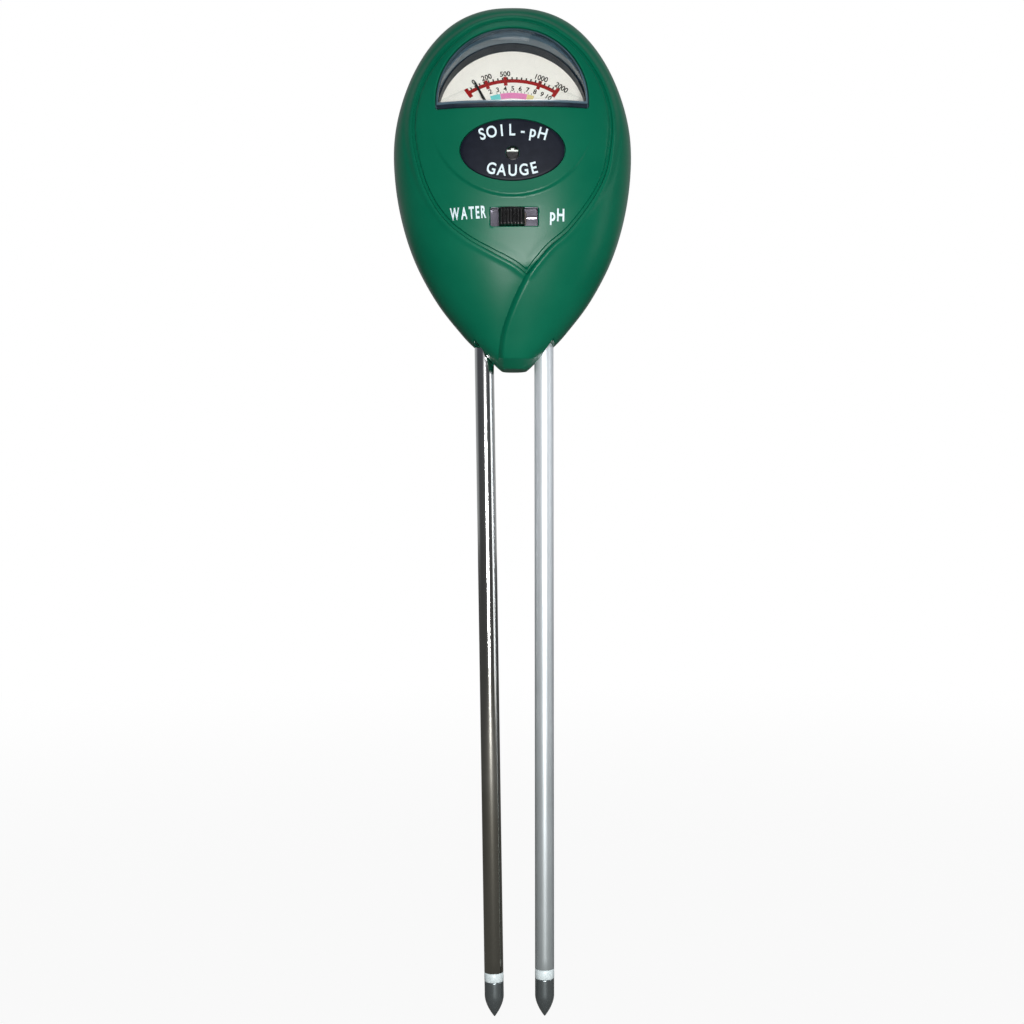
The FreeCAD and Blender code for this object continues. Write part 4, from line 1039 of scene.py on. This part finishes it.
def dial_text(pr, s, r, deg, size, squeeze=1.0, bold=0.0, spin=1.0):
    cx, cy = polar(r, deg)
    a = -math.radians(deg) * spin
    pr.text(s, size, lambda x, y, h: on_dial(cx + x * math.cos(a) - y * math.sin(a), cy + x * math.sin(a) + y * math.cos(a), h),
            0.03, squeeze, bold)


red, ink, cy, pk, ye = Print(), Print(), Print(), Print(), Print()
R_RED = 21.95
red.strip([polar(R_RED, a) for a in np.linspace(-33.4, 33.8, 90)], 0.54, on_dial, 0.03)
for a in (-33.4, 33.8):
    red.strip([polar(R_RED - 1.5, a), polar(R_RED, a), polar(R_RED + 1.5, a)], 0.56, on_dial, 0.034)
for a in (-18.5, -4.7, 20.3):
    red.strip([polar(R_RED - 1.35, a), polar(R_RED, a), polar(R_RED + 1.35, a)], 0.50, on_dial, 0.037)
for i in range(1, 20):
    a = -33.4 + i * 67.2 / 20
    ink.strip([polar(R_RED + 0.35, a), polar(R_RED + 1.15, a)], 0.20, on_dial, 0.038)
red.make("dial_scale_red", M["red"], "root", "dial_print")
for s, a in (("0", -26.2), ("200", -17.0), ("500", -4.4), ("1000", 20.2), ("2000", 35.0)):
    dial_text(ink, s, R_RED + (1.50 if s != "0" else 1.45), a, 2.15, 0.92, 0.055)
for i, s in enumerate(("2", "3", "4", "5", "6", "7", "8", "9", "10")):
    dial_text(ink, s, R_RED - 2.95, -17.8 + i * 6.15, 1.95, 0.95, 0.05)
for i in range(11):
    a = -13.0 + i * 3.0
    ink.strip([polar(18.35, a), polar(18.9, a)], 0.07, on_dial, 0.036)
ink.make("dial_numbers", M["ink"], "root", "dial_print")
cy.strip([polar(17.45, a) for a in np.linspace(-19.5, -10.6, 12)], 0.85, on_dial, 0.03)
pk.strip([polar(17.45, a) for a in np.linspace(-10.5, 13.6, 30)], 0.85, on_dial, 0.03)
ye.strip([polar(17.45, a) for a in np.linspace(13.7, 19.8, 10)], 0.85, on_dial, 0.03)
cy.make("dial_zone_acid", M["cyan"], "root", "dial_print")
pk.make("dial_zone_ideal", M["pink"], "root", "dial_print")
ye.make("dial_zone_alkaline", M["yellow"], "root", "dial_print")


def on_face(cx, cz, ang, lift):
    """Placement on the front face round (cx, cz), following its slope."""
    ca, sa = math.cos(ang), math.sin(ang)

    def place(x, y, h):
        X, Z = cx + x * ca - y * sa, cz + x * sa + y * ca
        Y = float(face_y(X, Z)) - lift - h
        return (X, Y, Z)
    return place


def arc_word(pr, word, a, b, cz, start, sweep, size, top, squeeze=0.9, bold=0.03, lift=0.0):
    """Letters along an ellipse (a, b) about (0, cz); angle 0 is straight up, positive clockwise."""
    n = len(word)
    for i, ch in enumerate(word):
        if ch == " ":
            continue
        ang = math.radians(start + sweep * i / (n - 1))
        x = a * math.sin(ang)
        z = cz + (b * math.cos(ang) if top else -b * math.cos(ang))
        slope = math.atan2(-b * math.sin(ang), a * math.cos(ang)) if top else math.atan2(b * math.sin(ang), a * math.cos(ang))
        pr.text(ch, size, on_face(x, z, slope, lift), 0.035, squeeze, bold)


wb = Print()
arc_word(wb, "SOIL-pH", 13.4, 5.3, BADGE_Z - 1.45, -35.5, 71, 4.4, True, 0.84, 0.075, lift=-0.02)
arc_word(wb, "GAUGE", 13.0, 5.9, BADGE_Z - 1.15, -28, 56, 4.3, False, 0.84, 0.075, lift=-0.02)
wb.make("badge_lettering", M["white"], "root", "insulator_white")

wl = Print()


def label_on_panel(pr, word, x0, z0, size, ang, squeeze, bold):
    tot = 0
    glyphs = []
    for ch in word:
        v, f, w = text_mesh(ch, size, bold)
        glyphs.append((v, f, w * squeeze))
        tot += w * squeeze + size * 0.10
    x = -tot / 2
    ca, sa = math.cos(ang), math.sin(ang)
    for v, f, w in glyphs:
        cx = x + w / 2
        vs = []
        for a, b, h in v:
            lx, ly = cx + a * squeeze, b
            X, Z = x0 + lx * ca - ly * sa, z0 + lx * sa + ly * ca
            hh = float(front_height(np.array([X]), np.array([Z]))[0])
            vs.append((X, float(face_y(X, Z)) - hh - (0.085 if h > 0 else -0.05), Z))
        pr.add(vs, f)
        x += w + size * 0.10


label_on_panel(wl, "WATER", -11.9, 39.75, 4.5, math.radians(2.5), 0.50, 0.12)
label_on_panel(wl, "pH", 12.15, 39.0, 4.6, math.radians(-1.5), 0.68, 0.12)
wl.make("switch_labels", M["white"], "root", "insulator_white")


# ------------------------------------------------------------------ needle
NEEDLE_REST = math.radians(26.1)


def needle():
    d, q = Vector((-math.sin(NEEDLE_REST), math.cos(NEEDLE_REST))), Vector((math.cos(NEEDLE_REST), math.sin(NEEDLE_REST)))
    verts, faces = [], []

    def prism(poly, w0, w1):
        b = len(verts)
        n = len(poly)
        for w in (w0, w1):
            for along, side in poly:
                p = d * along + q * side
                verts.append(tuple(dial_point(p.x, p.y, w)))
        faces.append([b + i for i in range(n)][::-1])
        faces.append([b + n + i for i in range(n)])
        for i in range(n):
            j = (i + 1) % n
            faces.append([b + i, b + j, b + n + j, b + n + i])
    prism([(1.2, -0.50), (8.0, -0.46), (16.0, -0.38), (23.2, -0.26), (23.9, 0.0), (23.2, 0.26), (16.0, 0.38), (8.0, 0.46),
           (1.2, 0.50)], 0.93, 1.27)
    prism([(-1.2, 0.32), (-6.9, 0.26), (-6.9, -0.26), (-1.2, -0.32)], 0.94, 1.26)
    n = 48
    b = len(verts)
    for r, w in ((1.75, 0.93), (1.75, 1.27), (0.42, 1.27), (0.42, 0.93)):
        for i in range(n):
            a = 2 * math.pi * i / n
            verts.append(tuple(dial_point(r * math.cos(a), r * math.sin(a), w)))
    for k in range(4):
        l = (k + 1) % 4
        for i in range(n):
            j = (i + 1) % n
            faces.append([b + k * n + i, b + k * n + j, b + l * n + j, b + l * n + i])
    for s in (-1, 1):
        prism([(-0.3, s * 1.3), (0.3, s * 1.3), (0.3, s * 4.4), (-0.3, s * 4.4)], 0.95, 1.25)
    return verts, faces


v, f = needle()
nd = new_object("needle_blade", v, f, M["needle"], "moving_system", sharp=30)
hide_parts("needle")

# ------------------------------------------------------------------ zero-adjust screw
yz = float(face_y(0, ZERO_Z))


def lathe_y(prof, cx, cz, n=64):
    """Turned closed ring or disc about a line along Y from an (r, y) profile, first and last points on the axis."""
    verts, faces, idx = [], [], []
    for r, y in prof:
        if r < 1e-6:
            idx.append([len(verts)] * n)
            verts.append((cx, y, cz))
        else:
            row = []
            for i in range(n):
                a = 2 * math.pi * i / n
                row.append(len(verts))
                verts.append((cx + r * math.cos(a), y, cz + r * math.sin(a)))
            idx.append(row)
    for k in range(len(prof) - 1):
        a, b = idx[k], idx[k + 1]
        for i in range(n):
            j = (i + 1) % n
            q = [a[i], a[j], b[j], b[i]]
            q = [x for t2, x in enumerate(q) if x not in q[:t2]]
            if len(q) >= 3:
                faces.append(q)
    return verts, faces


def slab(verts, faces, x0, x1, y0, y1, z0, z1, c=0.1):
    """Box with chamfered front edges."""
    b = len(verts)
    for y, e in ((y1, 0.0), (y0 + c, 0.0), (y0, c)):
        for x, z in ((x0 + e, z0 + e), (x1 - e, z0 + e), (x1 - e, z1 - e), (x0 + e, z1 - e)):
            verts.append((x, y, z))
    faces.append([b, b + 1, b + 2, b + 3])
    faces.append([b + 8, b + 9, b + 10, b + 11])
    for k in (0, 4):
        for i in range(4):
            j = (i + 1) % 4
            faces.append([b + k + i, b + k + j, b + k + 4 + j, b + k + 4 + i])


v, f = lathe_y([(0, yz + 0.62), (1.45, yz + 0.62), (1.62, yz + 0.50), (1.80, yz + 0.56), (1.80, yz + 0.97), (1.30, yz + 0.97),
                (1.30, yz + 2.9), (0, yz + 2.9)], 0, ZERO_Z)
pv, pf = lathe_y([(0, yz + 2.7), (0.38, yz + 2.7), (0.38, -14.35), (0, -14.35)], 0, ZERO_Z - 0.85, 32)
f += [[i + len(v) for i in q] for q in pf]
v += pv
zs = new_object("zero_screw_head", v, f, M["knob"], "zero_screw_body", sharp=35)
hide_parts("zero_adjust_screw")
# pale bar and bump over the zero screw's slot: a painted highlight, the light caught by the slot's upper edge
v, f = [], []
slab(v, f, -1.55, 1.55, yz + 0.22, yz + 0.66, ZERO_Z + 0.42, ZERO_Z + 0.86)
slab(v, f, -0.42, 0.42, yz + 0.24, yz + 0.66, ZERO_Z + 0.80, ZERO_Z + 1.32)
bar = new_object("zero_screw_driver_bar", v, f, M["bar"], "zero_screw_body", sharp=25)

# embossed rib of the switch frame, seen through the slot; its tin is lighter than the frame's, a painted glint
n = 20
v, f = [], []
for x in (3.75, 6.35):
    for i in range(n):
        a = math.pi * i / (n - 1)
        v.append((x, SW_Y + 0.02 - 0.18 * math.sin(a), SLOT_Z + 0.25 + 0.50 * math.cos(a)))
f.append(list(range(n))[::-1])
f.append(list(range(n, 2 * n)))
for i in range(n):
    j = (i + 1) % n
    f.append([i, j, n + j, n + i])
rib = new_object("switch_frame_rib", v, f, M["tin_rib"], "root", sharp=40)


# ------------------------------------------------------------------ switch knob
def knob():
    xs = np.linspace(-KNOB_W / 2, KNOB_W / 2, 113)
    zs = np.array([-1, -0.97, -0.88, -0.72, -0.4, 0, 0.4, 0.72, 0.88, 0.97, 1.0]) * KNOB_H / 2
    verts, faces = [], []
    ribs = 8
    for x in xs:
        crown = 0.75 * (1 - (x / (KNOB_W / 2)) ** 2)
        k = (x + KNOB_W / 2) / KNOB_W * ribs
        rib = 0.34 * (0.5 + 0.5 * math.cos(2 * math.pi * k)) ** 0.6
        edge = 0.3 * max(0, (abs(x) - (KNOB_W / 2 - 0.35)) / 0.35) ** 2
        for z in zs:
            ez = max(0, (abs(z) - (KNOB_H / 2 - 0.65)) / 0.65)
            y = KNOB_FRONT + 0.62 - crown + rib * (1 - ez) + edge + 0.42 * ez ** 2
            verts.append((KNOB_X + x, y, SLOT_Z + z))
    nx, nz = len(xs), len(zs)
    for i in range(nx - 1):
        for j in range(nz - 1):
            faces.append((i * nz + j, (i + 1) * nz + j, (i + 1) * nz + j + 1, i * nz + j + 1))
    b = len(verts)
    ring = [(i, 0) for i in range(nx)] + [(nx - 1, j) for j in range(1, nz)] + [(i, nz - 1) for i in range(nx - 2, -1, -1)] + [(0, j) for j in range(nz - 2, 0, -1)]
    top = [i * nz + j for i, j in ring]
    low = []
    for i, j in ring:
        low.append(len(verts))
        verts.append((KNOB_X + xs[i], SW_Y - 0.25, SLOT_Z + zs[j]))
    m = len(ring)
    for k in range(m):
        l = (k + 1) % m
        faces.append((top[k], top[l], low[l], low[k]))
    # post through the frame's window
    post = []
    for i, j in ring:
        post.append(len(verts))
        verts.append((KNOB_X + xs[i] * 1.7 / (KNOB_W / 2), SW_Y - 0.25, SLOT_Z + zs[j] * 1.5 / (KNOB_H / 2)))
    for k in range(m):
        l = (k + 1) % m
        faces.append((low[k], low[l], post[l], post[k]))
    end = []
    for i, j in ring:
        end.append(len(verts))
        verts.append((KNOB_X + xs[i] * 1.7 / (KNOB_W / 2), -13.9, SLOT_Z + zs[j] * 1.5 / (KNOB_H / 2)))
    for k in range(m):
        l = (k + 1) % m
        faces.append((post[k], post[l], end[l], end[k]))
    faces.append(tuple(end))
    return verts, faces


v, f = knob()
kn = new_object("switch_knob_ribbed", v, f, M["knob"], "switch_slide", sharp=45)
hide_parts("switch_knob")


# ------------------------------------------------------------------ probes
def probe_matrix(side):
    k = -1 if side == "left" else 1
    return Matrix.Translation((k * PROBE_X, 0, 0)) @ Matrix.Rotation(math.radians(k * PROBE_TOE), 4, "Y")


def lathe(name, prof, side, material, closed, sharp=30, n=96):
    """Turned piece about the probe's axis from an (r, z) profile."""
    mx = probe_matrix(side)
    verts, faces = [], []
    m = len(prof)
    poles = []
    idx = []
    for r, z in prof:
        if r < 1e-6:
            idx.append([len(verts)] * n)
            verts.append(tuple(mx @ Vector((0, 0, z))))
        else:
            row = []
            for i in range(n):
                a = 2 * math.pi * i / n
                row.append(len(verts))
                verts.append(tuple(mx @ Vector((r * math.cos(a), r * math.sin(a), z))))
            idx.append(row)
    for k in range(m if closed else m - 1):
        a, b = idx[k], idx[(k + 1) % m]
        for i in range(n):
            j = (i + 1) % n
            q = [a[i], a[j], b[j], b[i]]
            q = [x for t2, x in enumerate(q) if x not in q[:t2]]
            if len(q) >= 3:
                faces.append(q)
    return new_object(name, verts, faces, material, "root", sharp=sharp)


for side in ("left", "right"):
    rt, rb = RING_TOP[side], RING_BOTTOM[side]
    zs = list(np.linspace(rt + 0.12, 0.3, 60))
    prof = [(TUBE_BORE_R, rt), (PROBE_R - 0.10, rt), (PROBE_R - 0.02, rt + 0.05)]
    prof += [(PROBE_R, z) for z in zs]
    prof += [(PROBE_R, 2.0), (PROBE_R, 12.0), (NECK_R, 12.5), (NECK_R, TUBE_TOP), (TUBE_BORE_R, TUBE_TOP)]
    tube = lathe("probe_%s_tube" % side, prof, side, M["nickel" if side == "left" else "alu"], True, sharp=40)
    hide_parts("probe_tube_" + side)
    mid = (rt + rb) / 2
    prof = [(ROD_R, rb), (PROBE_R - 0.12, rb), (PROBE_R + 0.00, rb + 0.14), (PROBE_R + 0.03, mid), (PROBE_R + 0.00, rt - 0.14),
            (PROBE_R - 0.12, rt), (TUBE_BORE_R, rt), (TUBE_BORE_R, rt + 4), (ROD_R, rt + 4)]
    ring = lathe("probe_%s_insulator" % side, prof, side, M["ring"], True, sharp=50)
    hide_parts("insulator_" + side)
    prof = [(0, rb - 3.5), (ROD_R, rb - 3.5), (ROD_R, rb), (PROBE_R - 0.10, rb), (PROBE_R - 0.01, rb - 0.10)]
    prof += [(PROBE_R, z) for z in np.linspace(rb - 0.3, TIP_STRAIGHT, 6)]
    L = TIP_STRAIGHT - TIP_Z
    for s in np.linspace(0, 1, 22)[1:]:
        r = 0.16 + (PROBE_R - 0.16) * (1 - s ** 1.75)
        prof.append((r, TIP_STRAIGHT - L * s * 0.985))
    prof.append((0, TIP_Z))
    tip = lathe("probe_%s_tip" % side, prof, side, M["tip"], False, sharp=40)
    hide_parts("tip_" + side)

# ------------------------------------------------------------------ floor, world, lights, camera
FLOOR_Z = TIP_Z - 0.02


def stage():
    n = 40
    verts, faces = [], []
    for i in range(n + 1):
        for j in range(n + 1):
            verts.append(((i / n - 0.5) * 8.0, (j / n - 0.5) * 8.0, FLOOR_Z * MM))
    for i in range(n):
        for j in range(n):
            a = i * (n + 1) + j
            faces.append((a, a + n + 1, a + n + 2, a + 1))
    me = bpy.data.meshes.new("floor")
    me.from_pydata(verts, [], faces)
    o = bpy.data.objects.new("floor", me)
    bpy.context.scene.collection.objects.link(o)
    m = bpy.data.materials.new("floor_pale")
    m.use_nodes = True
    nt = m.node_tree
    nt.nodes.clear()
    out = nt.nodes.new("ShaderNodeOutputMaterial")
    di = nt.nodes.new("ShaderNodeBsdfDiffuse")
    di.inputs["Color"].default_value = (0.30, 0.29, 0.27, 1)
    em = nt.nodes.new("ShaderNodeEmission")
    em.inputs["Color"].default_value = (1, 1, 1, 1)
    em.inputs["Strength"].default_value = 1.0
    lp = nt.nodes.new("ShaderNodeLightPath")
    tc = nt.nodes.new("ShaderNodeTexCoord")
    ln = nt.nodes.new("ShaderNodeVectorMath")
    ln.operation = "LENGTH"
    nt.links.new(tc.outputs["Object"], ln.inputs[0])
    far = nt.nodes.new("ShaderNodeMapRange")
    far.interpolation_type = "SMOOTHSTEP"
    far.inputs["From Min"].default_value = 0.17
    far.inputs["From Max"].default_value = 0.9
    far.inputs["To Min"].default_value = 0.94
    far.inputs["To Max"].default_value = 1.0
    nt.links.new(ln.outputs["Value"], far.inputs["Value"])
    fac = nt.nodes.new("ShaderNodeMath")
    fac.operation = "MULTIPLY"
    nt.links.new(lp.outputs["Is Camera Ray"], fac.inputs[0])
    nt.links.new(far.outputs["Result"], fac.inputs[1])
    mx = nt.nodes.new("ShaderNodeMixShader")
    nt.links.new(fac.outputs["Value"], mx.inputs["Fac"])
    nt.links.new(di.outputs["BSDF"], mx.inputs[1])
    nt.links.new(em.outputs["Emission"], mx.inputs[2])
    nt.links.new(mx.outputs["Shader"], out.inputs["Surface"])
    me.materials.append(m)


stage()
world = bpy.data.worlds.new("studio")
bpy.context.scene.world = world
world.use_nodes = True
nt = world.node_tree
nt.nodes.clear()


def wnode(kind, **kw):
    n = nt.nodes.new(kind)
    for k, v in kw.items():
        setattr(n, k, v)
    return n


out = wnode("ShaderNodeOutputWorld")
bgc = wnode("ShaderNodeBackground")
bgc.inputs["Color"].default_value = (1, 1, 1, 1)
bgo = wnode("ShaderNodeBackground")
tc = wnode("ShaderNodeTexCoord")
sep = wnode("ShaderNodeSeparateXYZ")
nt.links.new(tc.outputs["Generated"], sep.inputs["Vector"])
# bright backdrop behind, a dim room in front, warm table below
back = wnode("ShaderNodeMapRange", interpolation_type="SMOOTHSTEP")
back.inputs["From Min"].default_value = -0.15
back.inputs["From Max"].default_value = 0.60
back.inputs["To Min"].default_value = 0.0
back.inputs["To Max"].default_value = 1.0
nt.links.new(sep.outputs["Y"], back.inputs["Value"])
up = wnode("ShaderNodeMapRange", interpolation_type="SMOOTHSTEP")
up.inputs["From Min"].default_value = -0.8
up.inputs["From Max"].default_value = 0.9
nt.links.new(sep.outputs["Z"], up.inputs["Value"])
room = wnode("ShaderNodeMix", data_type="RGBA")
room.inputs["A"].default_value = (0.075, 0.066, 0.050, 1)
room.inputs["B"].default_value = (0.070, 0.082, 0.105, 1)
nt.links.new(up.outputs["Result"], room.inputs["Factor"])
allr = wnode("ShaderNodeMix", data_type="RGBA")
allr.inputs["B"].default_value = (0.42, 0.43, 0.43, 1)
nt.links.new(back.outputs["Result"], allr.inputs["Factor"])
nt.links.new(room.outputs["Result"], allr.inputs["A"])
nt.links.new(allr.outputs["Result"], bgo.inputs["Color"])
# a soft light strip in front, behind the camera, that the polished rods pick up
ax = wnode("ShaderNodeMath", operation="ABSOLUTE")
sh = wnode("ShaderNodeMath", operation="ADD")
sh.inputs[1].default_value = -0.05
nt.links.new(sep.outputs["X"], sh.inputs[0])
nt.links.new(sh.outputs["Value"], ax.inputs[0])
fx = wnode("ShaderNodeMapRange", interpolation_type="SMOOTHSTEP")
fx.inputs["From Min"].default_value = 0.38
fx.inputs["From Max"].default_value = 0.16
nt.links.new(ax.outputs["Value"], fx.inputs["Value"])
fy = wnode("ShaderNodeMapRange", interpolation_type="SMOOTHSTEP")
fy.inputs["From Min"].default_value = -0.3
fy.inputs["From Max"].default_value = -0.8
nt.links.new(sep.outputs["Y"], fy.inputs["Value"])
fm = wnode("ShaderNodeMath", operation="MULTIPLY")
nt.links.new(fx.outputs["Result"], fm.inputs[0])
nt.links.new(fy.outputs["Result"], fm.inputs[1])
fs = wnode("ShaderNodeMath", operation="MULTIPLY")
fs.inputs[1].default_value = 0.42
nt.links.new(fm.outputs["Value"], fs.inputs[0])
strip = wnode("ShaderNodeMix", data_type="RGBA", blend_type="ADD")
strip.inputs["Factor"].default_value = 1.0
nt.links.new(allr.outputs["Result"], strip.inputs["A"])
nt.links.new(fs.outputs["Value"], strip.inputs["B"])
nt.links.new(strip.outputs["Result"], bgo.inputs["Color"])
lp = wnode("ShaderNodeLightPath")
mx = wnode("ShaderNodeMixShader")
nt.links.new(lp.outputs["Is Camera Ray"], mx.inputs["Fac"])
nt.links.new(bgo.outputs["Background"], mx.inputs[1])
nt.links.new(bgc.outputs["Background"], mx.inputs[2])
nt.links.new(mx.outputs["Shader"], out.inputs["Surface"])


def area(name, loc, target, size, power, color=(1, 1, 1), size_y=None):
    li = bpy.data.lights.new(name, "AREA")
    li.shape = "RECTANGLE"
    li.size = size
    li.size_y = size_y or size
    li.energy = power
    li.color = color
    o = bpy.data.objects.new(name, li)
    bpy.context.scene.collection.objects.link(o)
    o.location = loc
    d = Vector(target) - Vector(loc)
    o.rotation_euler = d.to_track_quat("-Z", "Y").to_euler()
    return o


area("key_soft", (0.05, -0.66, -0.06), (0, 0, -0.01), 0.19, 4.5, (1.0, 0.995, 0.98), 0.14)
area("top_soft", (-0.05, -0.20, 0.80), (0, 0, 0.08), 0.30, 0.45, (0.97, 0.99, 1.0))
area("table_bounce", (0.02, -0.36, -0.44), (0, 0, 0.04), 0.12, 1.9, (1.0, 0.99, 0.96), 0.05)
area("right_fill", (0.70, -0.20, 0.05), (0, 0, 0.0), 0.20, 0.8, (0.96, 0.99, 1.0), 0.6)

cam = bpy.data.cameras.new("camera")
cam.sensor_width = 36
cam.lens = 36 * 430 / 289.59
cam.clip_start = 0.01
cam.clip_end = 30
co = bpy.data.objects.new("camera", cam)
bpy.context.scene.collection.objects.link(co)
a = math.radians(0.48)
co.matrix_world = Matrix(((math.cos(a), math.sin(a), 0, -0.00096),
                          (0, 0, -1, -0.430),
                          (-math.sin(a), math.cos(a), 0, -0.03987),
                          (0, 0, 0, 1)))
bpy.context.scene.camera = co
bpy.context.scene.view_settings.view_transform = "Standard"
bpy.context.scene.view_settings.look = "None"
